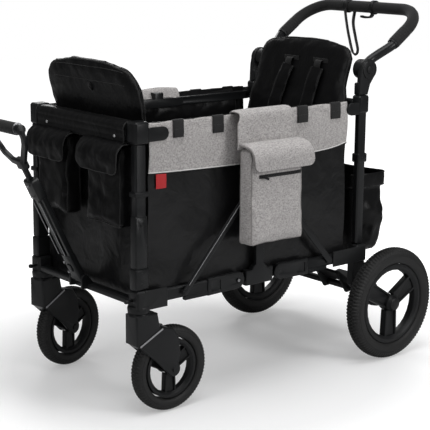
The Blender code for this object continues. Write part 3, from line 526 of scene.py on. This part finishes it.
def stuffed(piece, voxel, cap, free=lambda point: 1.0, pressure=4.0):
    """Blows a closed cloth form up from inside, as wadding fills a sewn case. No point moves past the cap."""
    alone(piece)
    case = piece.modifiers.new("case", "REMESH")
    case.mode, case.voxel_size = "VOXEL", voxel
    bpy.ops.object.modifier_apply(modifier="case")
    even = piece.modifiers.new("even", "SMOOTH")
    even.factor, even.iterations = 0.5, 3
    bpy.ops.object.modifier_apply(modifier="even")
    start = [v.co.copy() for v in piece.data.vertices]
    cloth = piece.modifiers.new("wadding", "CLOTH")
    cloth.settings.use_pressure, cloth.settings.uniform_pressure_force = True, pressure
    cloth.settings.effector_weights.gravity = 0.0
    cloth.settings.quality = 4
    for number in range(1, 21):
        bpy.context.scene.frame_set(number)
    blown = piece.evaluated_get(bpy.context.evaluated_depsgraph_get()).to_mesh()
    ends = [v.co.copy() for v in blown.vertices]
    piece.modifiers.remove(cloth)
    for vertex, before, after in zip(piece.data.vertices, start, ends):
        shift = after - before
        vertex.co = before + shift * min(1.0, cap / max(shift.length, 1e-9)) * free(before)
    bpy.context.scene.frame_set(1)
    finer = piece.modifiers.new("finer", "SUBSURF")
    finer.levels = 1
    bpy.ops.object.modifier_apply(modifier="finer")
    bpy.ops.object.shade_smooth()
    return piece


def crumpled(piece, depth, scale, free=lambda point: 1.0):
    """Soft creases of two sizes, pressed into the surface along its normals."""
    normals = [v.normal.copy() for v in piece.data.vertices]
    for vertex, normal in zip(piece.data.vertices, normals):
        at = vertex.co * scale
        crease = (noise.noise(at) + 0.6 * noise.noise(at * 2.1 + Vector((3.0, 9.0, 1.0)))
                  - 0.5 * abs(noise.noise(at * 1.4)))
        vertex.co += normal * depth * crease * free(vertex.co)
    return piece


def seated(piece, points, lift=0.0006):
    """Points drawn to the nearest place on a piece, for a seam or piping that follows its surface."""
    mesh = piece.data
    skin = BVHTree.FromPolygons([v.co for v in mesh.vertices], [p.vertices[:] for p in mesh.polygons])
    made = []
    for point in points:
        where, normal, _, _ = skin.find_nearest(Vector(point))
        made.append(where + normal * lift)
    return made


def round_corners(low, high, radius, steps=6):
    """A closed outline of a box in the plane, with round corners, as (a, b) pairs set close together."""
    made = []
    corners = ((high[0] - radius, high[1] - radius, 0), (low[0] + radius, high[1] - radius, 90),
               (low[0] + radius, low[1] + radius, 180), (high[0] - radius, low[1] + radius, 270))
    for a, b, start in corners:
        for k in range(steps + 1):
            turn = math.radians(start + 90 * k / steps)
            made.append((a + radius * math.cos(turn), b + radius * math.sin(turn)))
    full = []
    for here, after in zip(made, made[1:] + made[:1]):
        gap = math.dist(here, after)
        for k in range(max(int(gap / 0.008), 1)):
            t = k / max(int(gap / 0.008), 1)
            full.append((here[0] + (after[0] - here[0]) * t, here[1] + (after[1] - here[1]) * t))
    return full


def lid_sheet(name, to, path, left, right, radius, thick, surface):
    """A padded lid that follows a path outward and down; it ends in a straight hem with round corners."""
    line = through([(o, 0.0, z) for o, z in path], 8)
    reach = [0.0]
    for a, b in zip(line, line[1:]):
        reach.append(reach[-1] + (b - a).length)
    rows = len(line) - 1

    def at(u, v):
        k = min(int(round(v * rows)), rows)
        left_end = max(reach[-1] - reach[k], 0.0)
        inset = radius - math.sqrt(max(radius ** 2 - max(radius - left_end, 0.0) ** 2, 0.0))
        share = reach[k] / reach[-1]
        w0 = left[0] + (left[1] - left[0]) * share + inset
        w1 = right[0] + (right[1] - right[0]) * share - inset
        w = w0 + (w1 - w0) * u
        out = 0.0022 * math.sin(math.pi * u) ** 0.5 * math.sin(math.pi * min(share * 1.1, 1.0))
        drop = pulled(Vector((w, share * 0.2, 0.1)), 30.0, 0.0022) * math.sin(math.pi * share)
        return to(w, line[k].x + out + drop, line[k].z)

    piece = thickened(shaped(name, grid(56, rows, at), surface), thick, 1.0)
    soft = piece.modifiers.new("soft", "BEVEL")
    soft.width, soft.segments, soft.limit_method, soft.angle_limit = thick * 0.42, 3, "ANGLE", math.radians(50)
    bpy.ops.object.modifier_apply(modifier="soft")
    edge = [at(0.0, v / rows) for v in range(rows + 1)] + [at(u / 56, 1.0) for u in range(1, 56)]
    edge += [at(1.0, 1.0 - v / rows) for v in range(rows + 1)]
    return piece, edge


def satchel(name, to, width, depth, height, surface, trim, body, slot, replaced, creases):
    """The padded body of a hung bag, shrunk first and then stuffed, with piping round both rims."""
    bpy.ops.mesh.primitive_cube_add(size=1.0)
    piece = bpy.context.object
    piece.name = name
    low, high = (width[0] + 0.003, depth[0], height[0] + 0.004), (width[1] - 0.003, depth[1] - 0.004, height[1])
    for vertex in piece.data.vertices:
        w, o, z = [b if c > 0 else a for c, a, b in zip(vertex.co, low, high)]
        top = vertex.co.z > 0 and vertex.co.y > 0
        vertex.co = to(w, o - (0.010 if top else 0.0), z)
    bpy.ops.object.mode_set(mode="EDIT")
    bpy.ops.mesh.select_all(action="SELECT")
    bpy.ops.mesh.bevel(offset=0.011, segments=4)
    bpy.ops.mesh.normals_make_consistent(inside=False)
    bpy.ops.object.mode_set(mode="OBJECT")
    piece.data.materials.append(surface)
    back = to(0, depth[0], 0)
    face = (to(0, 1, 0) - to(0, 0, 0)).normalized()
    stuffed(piece, 0.0052, 0.0065, lambda point: min(max((point - back).dot(face) / 0.012, 0.0), 1.0))
    crumpled(piece, creases, 16.0, lambda point: min(max((point - back).dot(face) / 0.02, 0.0), 1.0))
    settle(piece, body, slot, *replaced)
    trims = []
    for rim, o, r in (("front", depth[1] - 0.002, 0.0016), ("back", depth[0] + 0.005, 0.0014)):
        outline = round_corners((width[0] + 0.002, height[0] + 0.001), (width[1] - 0.002, height[1]), 0.016)
        line = seated(piece, [to(w, o, z) for w, z in outline], 0.0002)
        trims.append(settle(piped(f"{name}_piping_{rim}", line, r, trim, True), body, slot))
    return piece


canvas_edge = finish("canvas_piping", (0.215, 0.203, 0.198), 0.80, 0.0, 1800.0, 0.3, 0.2, 0.2)
thread = finish("grey_thread", (0.115, 0.108, 0.106), 0.75, 0.0, 3000.0, 0.3)


def on_side(w, o, z):
    return Vector((w, -o, z))


satchel("side_bag_body", on_side, (-0.099, 0.108), (0.2680, 0.3255), (0.4235, 0.6960), canvas, canvas_edge,
        "centre", "cloth_grey", ("side_bag",), 0.0016)
over = through([(0.2300, 0, 0.7640), (0.2295, 0, 0.7800), (0.2335, 0, 0.7885), (0.2480, 0, 0.7905),
                (0.2640, 0, 0.7885), (0.2725, 0, 0.7790), (0.2735, 0, 0.7560), (0.2745, 0, 0.7300),
                (0.2760, 0, 0.7080), (0.2745, 0, 0.6900)], 6)


def on_flap(u, v):
    here = over[min(int(round(v * (len(over) - 1))), len(over) - 1)]
    x = -0.1040 + 0.1960 * u
    tuck = 0.010 * math.exp(-(x + 0.104) / 0.012) * max(0.0, 1.0 - abs(here.z - 0.785) / 0.03)
    slack = pulled(Vector((x, 0.1, here.z)), 14.0, 0.0020) * (here.z < 0.775)
    return Vector((x + tuck, -here.x - slack, here.z - tuck * 0.4))


flap = thickened(shaped("side_bag_flap", grid(48, len(over) - 1, on_flap), canvas), 0.0026)
settle(flap, "centre", "cloth_grey")
low_edge = [Vector((-0.100 + 0.188 * n / 30, -0.2772, 0.7010)) for n in range(31)]
settle(piped("side_bag_fold", low_edge, 0.0014, thread), "centre", "cloth_grey")
lid_path = [(0.2760, 0.7005), (0.2960, 0.6985), (0.3150, 0.6915), (0.3262, 0.6760), (0.3285, 0.6560),
            (0.3275, 0.6350)]
lid, edge = lid_sheet("side_bag_lid", on_side, lid_path, (-0.0980, -0.0900), (0.1080, 0.1290), 0.020,
                      0.0058, canvas)
settle(lid, "centre", "cloth_grey")
lid_middle = Vector((0.0, -0.299, 0.664))
hem_line = [p + (lid_middle - p).normalized() * 0.0006 + Vector((0, -0.0026, 0)) for p in edge]
settle(piped("side_bag_lid_piping", hem_line, 0.0021, canvas_edge), "centre", "cloth_grey")
zip_line = [(-0.066 + 0.168 * n / 40, -0.330, 0.6195) for n in range(41)]
zip_line = seated(bpy.data.objects["side_bag_body"], zip_line, 0.0006)
settle(webbing("side_bag_zip", zip_line, (0, 0, 1), 0.0095, 0.0016, strap_black), "centre", "cloth_black")
settle(piped("side_bag_zip_teeth", [p + Vector((0, -0.0010, 0)) for p in zip_line], 0.0011, coat,
             swell=[0.75 + 0.25 * (n % 2) for n in range(41)]), "centre", "frame_black")
pull = [Vector((-0.058, -0.3290, 0.6190)), Vector((-0.050, -0.3310, 0.6160)), Vector((-0.041, -0.3312, 0.6120))]
settle(webbing("side_bag_zip_pull", through(pull, 4), (0.3, 0, 1), 0.0062, 0.0020, coat),
       "centre", "frame_black")

# Front pouches: two black nylon pockets that hang on the front panel. They are cut and wadded as the
# side bag is, with deeper lids and softer, more creased walls.
for side, sign in (("near", -1.0), ("far", 1.0)):
    def on_front(w, o, z, sign=sign):
        return Vector((-o, sign * w, z))

    pouch = satchel(f"pouch_body_{side}", on_front, (0.037, 0.205), (0.3845, 0.4390), (0.4985, 0.7260),
                    black_nylon, strap_black, "front_frame", "cloth_black", ("front_pouch_" + side,), 0.0034)
    lid_path = [(0.3850, 0.7262), (0.4120, 0.7275), (0.4330, 0.7230), (0.4470, 0.7080), (0.4520, 0.6830),
                (0.4490, 0.6520)]
    lid, edge = lid_sheet(f"pouch_lid_{side}", on_front, lid_path, (0.0340, 0.0320), (0.2080, 0.2100),
                          0.022, 0.0050, black_nylon)
    settle(crumpled(lid, 0.0022, 24.0), "front_frame", "cloth_black")
    hem_line = seated(lid, [p + Vector((-0.002, 0, 0)) for p in edge], 0.0004)
    settle(piped(f"pouch_lid_piping_{side}", hem_line, 0.0018, strap_black), "front_frame", "cloth_black")

# Front panel wrap: the same black nylon drawn tight over the moulded panel, with three padded ribs
# across its face. Two bright rivets hold the pouches' tapes to it.
wrap_line = through([(0.3865, 0, 0.7795), (0.3900, 0, 0.7832), (0.4020, 0, 0.7850), (0.4150, 0, 0.7832),
                     (0.4225, 0, 0.7750), (0.4240, 0, 0.7640), (0.4232, 0, 0.7500), (0.4225, 0, 0.7270)], 8)


def on_panel(u, v):
    here = wrap_line[min(int(round(v * (len(wrap_line) - 1))), len(wrap_line) - 1)]
    y = 0.2065 - 0.413 * u
    rib = 0.0012 * abs(math.sin((here.z - 0.727) / 0.0175 * math.pi)) * (here.x > 0.418)
    end = 0.0030 * (math.exp(-(1 - u) / 0.03) + math.exp(-u / 0.03))
    slack = 0.4 * pulled(Vector((0.3, y, here.z)), 18.0, 0.0016) * (here.x > 0.41)
    return Vector((-here.x - rib - slack + end * 0.5, y, here.z - end))


wrap = thickened(shaped("front_panel_wrap", grid(90, len(wrap_line) - 1, on_panel), black_nylon), 0.0012)
settle(wrap, "front_frame", "cloth_black")
for name, y, way in (("near", -0.2050, 1), ("far", 0.2050, -1)):
    line = [Vector((-h.x - 0.0008, y + 0.0010 * way, h.z - 0.0020)) for h in wrap_line[6:]]
    settle(piped(f"panel_piping_{name}", line, 0.0018, strap_black), "front_frame", "cloth_black")


def lathed(name, profile, place, surface, steps=24):
    """A turned form from (radius, height) pairs about its own Z axis, set in place by a matrix."""
    bm = bmesh.new()
    loops = []
    for radius, height in profile:
        turns = [2 * math.pi * n / steps for n in range(steps)]
        ring = [Vector((radius * math.cos(a), radius * math.sin(a), height)) for a in turns]
        loops.append([bm.verts.new(place @ point) for point in ring])
    for a, b in zip(loops, loops[1:]):
        for n in range(steps):
            m = (n + 1) % steps
            bm.faces.new([a[n], a[m], b[m], b[n]])
    bm.faces.new(loops[0])
    bm.faces.new(loops[-1])
    return shaped(name, bm, surface, 35.0)


bright = finish("bright_steel", (0.55, 0.55, 0.56), 0.30, 0.9, 900.0, 0.05)
outward = {
    "front": Matrix.Rotation(math.radians(-90), 4, "Y"),
    "near": Matrix.Rotation(math.radians(90), 4, "X"),
    "far": Matrix.Rotation(math.radians(-90), 4, "X"),
}
for number, y in enumerate((0.1520, -0.1640)):
    at = Matrix.Translation((-0.4246, y, 0.7440)) @ outward["front"]
    head = [(0.0046, -0.0010), (0.0046, 0.0004), (0.0038, 0.0014), (0.0018, 0.0020), (0.0004, 0.0021)]
    settle(lathed(f"panel_rivet_{number}", head, at, bright), "front_frame", None)

# Rear basket: a sewn nylon pocket hung behind the rear posts. Its rim is folded over a stiff band
# that stands proud; the body steps in below it, bellies out under its own slack and draws in at the floor.
PLAN = round_corners((0.4310, -0.1880), (0.5650, 0.1880), 0.024, 8)
# Down the wall: height, and how far the cloth stands out from the plan there.
WALL = [(0.5480, 0.0055), (0.5475, 0.0070), (0.5300, 0.0078), (0.5100, 0.0070), (0.5050, 0.0040),
        (0.5020, -0.0010), (0.4900, -0.0020), (0.4700, 0.0002), (0.4500, 0.0034), (0.4300, 0.0062),
        (0.4100, 0.0062), (0.3900, 0.0044), (0.3700, 0.0020), (0.3500, -0.0006), (0.3300, -0.0036),
        (0.3150, -0.0076), (0.3050, -0.0150)]
MIDDLE = 0.4980


def outer_share(x):
    """From 0 at the posts to 1 on the outer wall, which alone bellies and droops."""
    return min(max((x - 0.440) / 0.05, 0.0), 1.0)


rows = through([(o, 0, z) for z, o in WALL], 3)
bm = bmesh.new()
loops = []
for row in rows:
    loop = []
    for x, y in PLAN:
        away = Vector((x - MIDDLE, y * 0.36, 0)).normalized()
        outer = outer_share(x)
        slack = math.sin(math.pi * min(max((0.505 - row.z) / 0.20, 0.0), 1.0))
        fold = pulled(Vector((x * 1.2, y + (row.z - 0.4) * 0.9, row.z)), 13.0, 0.0085) * slack
        droop = 0.0060 * outer * (1 - (y / 0.19) ** 2) * min(max((row.z - 0.42) / 0.1, 0.0), 1.0)
        out = row.x * (0.25 + 0.75 * outer) + min(fold, 0.0045) * outer
        out -= 0.0030 * outer * (abs(y) < 0.17) * slack
        loop.append(bm.verts.new((x + away.x * out, y + away.y * out * 1.4, row.z - droop)))
    loops.append(loop)
for share in (0.92, 0.75, 0.5, 0.25, 0.06):
    loops.append([bm.verts.new((MIDDLE + (v.co.x - MIDDLE) * share, v.co.y * share,
                                0.3020 + 0.0020 * math.sin(9 * v.co.y)))
                  for v in loops[len(rows) - 1]])
for a, b in zip(loops, loops[1:]):
    for n in range(len(PLAN)):
        m = (n + 1) % len(PLAN)
        bm.faces.new([a[n], a[m], b[m], b[n]])
bm.faces.new(loops[-1])
basket = thickened(shaped("rear_basket_cloth", bm, black_nylon), 0.0016, -1.0)
settle(basket, "rear_frame", "cloth_black", "rear_basket")
for number, height in enumerate((0.5465, 0.5078)):
    line = []
    for x, y in PLAN:
        outer = outer_share(x)
        droop = 0.0060 * outer * (1 - (y / 0.19) ** 2)
        line.append(Vector((x + (0.0085 * outer if x > 0.5 else 0), y * 1.035, height - droop)))
    binding = piped(f"basket_binding_{number}", seated(basket, line, 0.0002), 0.0017, strap_black, True)
    settle(binding, "rear_frame", "cloth_black")

# Seats: wadded cushions with piped rims, sewn in black nylon and laid over the boarded floor frames.
for name, low, high, body, still, keep in (
    ("front", -0.3690, -0.1350, "front_frame", -0.369, 0.10),
    ("rear", 0.1350, 0.3475, "rear_frame", 0.3475, 0.05),
):
    bpy.ops.mesh.primitive_cube_add(size=1.0)
    seat = bpy.context.object
    seat.name = name + "_seat_cushion"
    for vertex in seat.data.vertices:
        x, y, z = vertex.co
        vertex.co = (low + 0.004 if x < 0 else high - 0.004, math.copysign(0.2205, y),
                     0.4600 if z < 0 else 0.4950)
    bpy.ops.object.mode_set(mode="EDIT")
    bpy.ops.mesh.select_all(action="SELECT")
    bpy.ops.mesh.bevel(offset=0.012, segments=3)
    bpy.ops.mesh.normals_make_consistent(inside=False)
    bpy.ops.object.mode_set(mode="OBJECT")
    seat.data.materials.append(black_nylon)
    stuffed(seat, 0.0065, 0.0055)
    crumpled(seat, 0.0014, 20.0)
    settle(seat, body, "cloth_black", name + "_seat")
    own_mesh(seat)
    rim = round_corners((low + 0.002, -0.2230), (high - 0.002, 0.2230), 0.024)
    rim = seated(seat, [(x, y, 0.4900) for x, y in rim], 0.0)
    cord = piped(name + "_seat_piping", rim, 0.0016, strap_black, True)
    settle(cord, body, "cloth_black")
    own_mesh(cord)

# Backrests: wadded panels with a side wall between two piped rims. They hinge at their lower edge.


def leaning(x, lean):
    """Where a point (off the face, y, height) of a backrest lies once it leans back about its hinge."""
    turn = Matrix.Translation((x, 0, 0.572)) @ Matrix.Rotation(math.radians(lean), 4, "Y")
    return lambda off, y, z: turn @ Vector((off, y, z - 0.572))


for name, x, lean, top, wide, corner in (
    ("front", -0.303, -14.0, 0.941, 0.2130, 0.072),
    ("rear", 0.318, 14.5, 0.961, 0.1955, 0.052),
):
    backrest = name + "_backrest"
    place = leaning(x, lean)
    rest = bpy.data.objects.new(backrest + "_pad", frame["nodes"][backrest].data.copy())
    bpy.context.scene.collection.objects.link(rest)
    rest.data.materials.clear()
    rest.data.materials.append(black_nylon)
    stuffed(rest, 0.0058, 0.0030)
    crumpled(rest, 0.0018, 17.0)
    settle(rest, backrest, "cloth_black", backrest)
    edge = [(0.185, 0.566), (0.2045, 0.592), (0.2055, 0.640), (0.2060, 0.690), (0.2060, 0.740),
            (0.2060, 0.790), (wide, 0.825)]
    edge += [(wide - corner + corner * math.cos(a), top - 0.012 - corner + corner * math.sin(a))
             for a in (math.radians(n * 10) for n in range(9))]
    edge += [(0.100, top - 0.0040), (0.0500, top - 0.0010)]
    outline = through([(0, y, z) for y, z in [*edge, (0.0, top), *[(-y, z) for y, z in edge[::-1]]]], 4)
    for face, off in (("inner", -0.0112), ("outer", 0.0112)):
        line = seated(rest, [place(off, p.y * 0.996, p.z - 0.0006) for p in outline], 0.0)
        settle(piped(f"{backrest}_piping_{face}", line, 0.0021, strap_black), backrest, "cloth_black")
    for number, drop in enumerate((0.020, 0.058)):
        line = [place(-0.016 if name == "front" else 0.016, y, top - drop - 0.10 * max(abs(y) - 0.14, 0.0))
                for y in [-0.165 + 0.33 * n / 40 for n in range(41)]]
        stitched = piped(f"{backrest}_seam_{number}", seated(rest, line, 0.0), 0.0010, strap_black)
        settle(stitched, backrest, "cloth_black")
    if name == "front":
        loop = through([place(-0.0135, -0.006, 0.878), place(-0.0200, -0.008, 0.872),
                        place(-0.0205, -0.012, 0.862), place(-0.0145, -0.014, 0.856)], 5)
        loop = webbing("front_backrest_loop", loop, (0, 1, 0.2), 0.0080, 0.0018, strap_black)
        settle(loop, "front_backrest", "cloth_black")

# Harness of the rear seat: two slots sewn in the backrest, webbing that loops out of them, and a
# padded sleeve with piped edges round each strap.
place = leaning(0.318, 14.5)
for number, (y, low_y) in enumerate(((0.042, 0.071), (-0.083, -0.065))):
    slot = [place(-0.0140, y - 0.030 + 0.060 * n / 8, 0.8900) for n in range(9)]
    slot = seated(bpy.data.objects["rear_backrest_pad"], slot, 0.0008)
    slot = webbing(f"harness_slot_{number}", slot, (0, 0, 1), 0.0120, 0.0022, strap_black)
    strap = through([place(-0.0110, y, 0.8900), place(-0.0230, y, 0.8880), place(-0.0250, y + 0.001, 0.8740),
                     place(-0.0190, y + 0.002, 0.8600)], 6)
    strap = webbing(f"harness_webbing_{number}", strap, (0, 1, 0), 0.0260, 0.0016, strap_black)
    settle(slot, "rear_backrest", "cloth_black")
    settle(strap, "rear_backrest", "cloth_black")
    run = through([place(-0.0200, y + 0.001, 0.8680), place(-0.0240, y + (low_y - y) * 0.3, 0.8300),
                   place(-0.0220, y + (low_y - y) * 0.7, 0.7800), place(-0.0205, low_y, 0.7300),
                   place(-0.0200, low_y + 0.002, 0.6700)], 10)
    sleeve = webbing(f"harness_pad_{number}", run, (0, 1, 0), 0.0500, 0.0100, black_nylon)
    soft = sleeve.modifiers.new("soft", "SUBSURF")
    soft.levels = 1
    bpy.context.view_layer.objects.active = sleeve
    bpy.ops.object.modifier_apply(modifier="soft")
    crumpled(sleeve, 0.0012, 40.0)
    settle(sleeve, "rear_backrest", "cloth_black")
    for way in (-1, 1):
        side_line = seated(sleeve, [p + Vector((-0.002, 0.0245 * way, 0)) for p in run], 0.0)
        side_line = piped(f"harness_pad_piping_{number}_{'ab'[way > 0]}", side_line, 0.0012, strap_black)
        settle(side_line, "rear_backrest", "cloth_black")

# Push bar: one steel tube bent to a U, its flattened ends held in round knuckles at the joint covers.
PUSH_ANGLE, PUSH_HALF, KNUCKLE_AT, GRIP_START = math.radians(34.5), 0.2370, 0.2120, 0.125
lean = Vector((math.cos(PUSH_ANGLE), 0.0, math.sin(PUSH_ANGLE)))
hinge = Vector((0.426, 0.0, 0.867))
bend, reach = 0.089, 0.2830
turn_points = [(reach - bend + bend * math.sin(a), PUSH_HALF - bend + bend * math.cos(a))
               for a in (math.radians(5 * n) for n in range(19))]
half_line = [(GRIP_START + 0.069 * n / 14, PUSH_HALF) for n in range(14)] + turn_points
half_line += [(reach, 0.148 - 0.148 * n / 32) for n in range(1, 32)]
flat_line = half_line + [(reach, 0.0)] + [(s, -y) for s, y in half_line[::-1]]
grip_line = [hinge + lean * s + Vector((0, y, 0)) for s, y in flat_line]
leg = through([(0.016, KNUCKLE_AT, 0), (0.048, KNUCKLE_AT, 0), (0.108, PUSH_HALF, 0),
               (GRIP_START, PUSH_HALF, 0)], 8)
legs = [hinge + lean * p.x + Vector((0, p.y, 0)) for p in leg]
bar_line = legs[:-1] + grip_line + [Vector((p.x, -p.y, p.z)) for p in legs[-2::-1]]
settle(piped("push_bar_tube", bar_line, 0.0139, coat, fine=5), "push_handle", "frame_black", "push_bar")
knuckle = [(0.0095, -0.0262), (0.0262, -0.0262), (0.0280, -0.0245), (0.0284, -0.0130), (0.0280, -0.0018),
           (0.0262, 0.0), (0.0095, 0.0)]
for side, way in (("near", -1), ("far", 1)):
    at = Matrix.Translation((hinge.x, 0.2258 * way, hinge.z)) @ outward[side]
    settle(lathed("push_knuckle_" + side, knuckle, at, grained, 36), "push_handle", "moulded_black")

# Foam grip: closed-cell sleeve pushed over the bar, with a stop ring at each end, a ribbed zone above
# the near one, and a matt, finely pitted skin.
foam = finish("foam_grip", (0.0115, 0.0115, 0.0118), 0.80, 0.0, 1100.0, 0.55, 0.2, 0.1)
dense = through([tuple(p) for p in grip_line], 3)
walked, swell = 0.0, []
for n, here in enumerate(dense):
    walked += (here - dense[n - 1]).length if n else 0.0
    swell.append(walked)
total = swell[-1]
widths = []
for s in swell:
    near_end = total - s
    width = 0.955 + 0.020 * math.sin(s * 23.0) * 0.3
    if min(s, near_end) < 0.058:
        width = 0.965 + 0.035 * abs(math.sin(min(s, near_end) / 0.0100 * math.pi)) ** 0.6
    widths.append(width)
settle(piped("push_grip_foam", dense, 0.0185, foam, swell=widths, fine=5),
       "push_handle", "foam_black", "push_grip")
for side, way in (("near", -1), ("far", 1)):
    spot = hinge + lean * 0.1225 + Vector((0, PUSH_HALF * way, 0))
    at = Matrix.Translation(spot) @ lean.to_track_quat("Z", "Y").to_matrix().to_4x4()
    ring = [(0.0142, -0.0045), (0.0168, -0.0040), (0.0176, 0.0), (0.0168, 0.0035), (0.0142, 0.0040)]
    settle(lathed("grip_ring_" + side, ring, at, grained, 28), "push_handle", "moulded_black")

# Wrist strap: one webbing loop sewn round the grip, with a moulded clip on the bar at each side of it.
across_bar = hinge + lean * reach
bar_x, bar_z = across_bar.x, across_bar.z
loop = [(bar_x, 0.0700, bar_z + 0.0196), (bar_x - 0.0150, 0.0735, bar_z + 0.0100),
        (bar_x - 0.0185, 0.0740, bar_z - 0.0120), (bar_x - 0.0160, 0.0660, 0.965),
        (0.6440, 0.0530, 0.920), (0.6440, 0.0400, 0.888), (0.6450, 0.0270, 0.880),
        (0.6470, 0.0200, 0.893), (0.6490, 0.0330, 0.930), (0.6560, 0.0520, 0.975),
        (bar_x + 0.0160, 0.0650, bar_z - 0.0110), (bar_x + 0.0150, 0.0680, bar_z + 0.0105)]
settle(webbing("wrist_strap", through(loop, 7), (0.3, 0.9, 0.1), 0.0165, 0.0020, strap_black),
       "push_handle", "cloth_black")
collar = [(0.0186, -0.0070), (0.0205, -0.0070), (0.0216, -0.0055), (0.0216, 0.0055), (0.0205, 0.0070),
          (0.0186, 0.0070)]
for number, y in enumerate((0.0790, -0.0330)):
    at = Matrix.Translation((bar_x, y, bar_z)) @ outward["far"]
    settle(lathed(f"strap_clip_{number}", collar, at, grained, 32), "push_handle", "moulded_black")
arm = through([(bar_x - 0.006, y, bar_z - 0.0200), (bar_x - 0.009, y + 0.006, bar_z - 0.0290),
               (bar_x - 0.010, y + 0.026, bar_z - 0.0310), (bar_x - 0.010, y + 0.044, bar_z - 0.0290)], 6)
settle(webbing("strap_clip_arm", arm, (1, 0, 0), 0.0120, 0.0060, grained), "push_handle", "moulded_black")

# Pull handle: grooved rails on the bottom bar's pin, the tube that slides between them, and the grip.
refined("pull_rails", coat, 0.0010)
refined("pull_tube", coat, 0.0010)
refined("pull_grip", foam, 0.0012)
PULL_LEAN, ASIDE, GRIP_AT = math.radians(26.5), -0.0045, 0.484
tilt = Vector((-math.sin(PULL_LEAN), 0.0, math.cos(PULL_LEAN)))
face = Vector((-math.cos(PULL_LEAN), 0.0, -math.sin(PULL_LEAN)))
foot = Vector((-0.428, 0.0, 0.338))
satin = finish("satin_alloy", (0.30, 0.30, 0.31), 0.34, 0.85, 700.0, 0.06)
for way in (-1, 1):
    line = [foot + tilt * (0.085 + 0.170 * n / 10) + face * 0.0128 + Vector((ASIDE, 0.0150 * way, 0))
            for n in range(11)]
    settle(piped(f"pull_strip_{'ab'[way > 0]}", line, 0.0011, satin), "pull_rails", None)
rivet = [(0.0042, -0.0020), (0.0042, 0.0004), (0.0034, 0.0014), (0.0010, 0.0018)]
for number, (u, y) in enumerate(((0.272, 0.0), (0.306, 0.0), (0.030, 0.0), (0.062, 0.0))):
    spot = foot + tilt * u + face * 0.0162 + Vector((ASIDE, y, 0))
    at = Matrix.Translation(spot) @ face.to_track_quat("Z", "Y").to_matrix().to_4x4()
    settle(lathed(f"pull_rivet_{number}", rivet, at, satin, 20), "pull_rails", None)
for way in (-1, 1):
    spot = foot + tilt * GRIP_AT + Vector((ASIDE, 0.0655 * way, 0))
    at = Matrix.Translation(spot) @ outward["far" if way > 0 else "near"]
    ring = [(0.0120, -0.0010), (0.0150, -0.0008), (0.0154, 0.0004), (0.0120, 0.0008)]
    settle(lathed(f"pull_grip_ring_{'ab'[way > 0]}", ring, at, satin, 28), "pull_tube", None)

# Painted highlights and screws: thin bright alloy strips along the front arms' upper edges and the caster
# cheeks stand in for the light caught on those edges, and a pan-head screw in each front link.
for side, way in (("near", -1), ("far", 1)):
    start, stop = Vector((-0.270, 0.2668 * way, 0.325)), Vector((0.0, 0.2668 * way, 0.627))
    run = (stop - start).normalized()
    over_edge = Vector((-run.z, 0, run.x)) * 0.0050
    line = [start + (stop - start) * (0.05 + 0.87 * n / 12) + over_edge for n in range(13)]
    # Painted highlight: a bright alloy strip along the arm's upper edge stands in for the light caught there.
    settle(piped("arm_painted_highlight_" + side, line, 0.0010, satin), "front_arms", None)
    turned_by = stem @ Matrix.Rotation(math.radians(11.0 if way > 0 else 0.0), 4, "Z") @ stem.inverted()
    for cheek in (-1, 1):
        at_y = 0.230 * way + 0.0290 * cheek
        line = [Vector((-0.4145 + 0.0740 * n / 6, at_y, 0.2012 + 0.0370 * n / 6)) for n in range(7)]
        # Painted highlight: a bright alloy strip on each caster cheek stands in for the light caught on its
        # edge.
        name = f"caster_strip_{side}_{'ab'[cheek > 0]}"
        strip = webbing(name, line, (-0.447, 0, 0.894), 0.0046, 0.0012, satin)
        if way > 0:
            strip.data.transform(turned_by)
        settle(strip, "caster_" + side, None)
    pan = [(0.0044, -0.0008), (0.0044, 0.0006), (0.0036, 0.0015), (0.0018, 0.0018), (0.0016, 0.0008),
           (0.0003, 0.0008)]
    at = Matrix.Translation((-0.0790, 0.2582 * way, 0.3250)) @ outward[side]
    settle(lathed(f"link_screw_{side}_0", pan, at, satin, 20), "centre", None)

# Liner: loose black nylon that hangs inside each long wall, caught at the top rail. On the far wall a
# grey canvas flap is folded over it, as the side bag's flap is on the near one.
for side, way in (("near", -1), ("far", 1)):
    def on_liner(u, v):
        x = -0.335 + 0.640 * u
        sag = math.sin(math.pi * min(v * 1.1, 1.0)) ** 0.8
        deep = (0.014 + 0.012 * noise.noise(Vector((x * 7.0, way, 0.3)))) * sag
        top = 0.7770 - 0.0100 * abs(math.sin((x + 0.05) * 9.0))
        slack = abs(pulled(Vector((x, v * 0.2, 0.5)), 16.0, 0.0040)) * sag
        return Vector((x, way * (0.2290 - deep - slack), top - 0.1150 * v))

    liner = thickened(shaped("tub_liner_" + side, grid(110, 18, on_liner), black_nylon), 0.0010)
    settle(liner, "rear_frame", "cloth_black")
    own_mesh(liner)
far_over = through([(0.2150, 0, 0.7450), (0.2200, 0, 0.7660), (0.2260, 0, 0.7830), (0.2345, 0, 0.7910),
                    (0.2440, 0, 0.7890), (0.2500, 0, 0.7780), (0.2505, 0, 0.7500), (0.2500, 0, 0.7100)], 6)


def on_far_flap(u, v):
    here = far_over[min(int(round(v * (len(far_over) - 1))), len(far_over) - 1)]
    x = -0.060 + 0.150 * u
    crown = 0.0050 * math.sin(math.pi * u) * math.exp(-((here.z - 0.790) / 0.012) ** 2)
    return Vector((x, here.x + pulled(Vector((x, 0.2, here.z)), 14.0, 0.0016), here.z + crown))


far_flap = thickened(shaped("far_flap", grid(40, len(far_over) - 1, on_far_flap), canvas), 0.0024)
settle(far_flap, "centre", "cloth_grey")
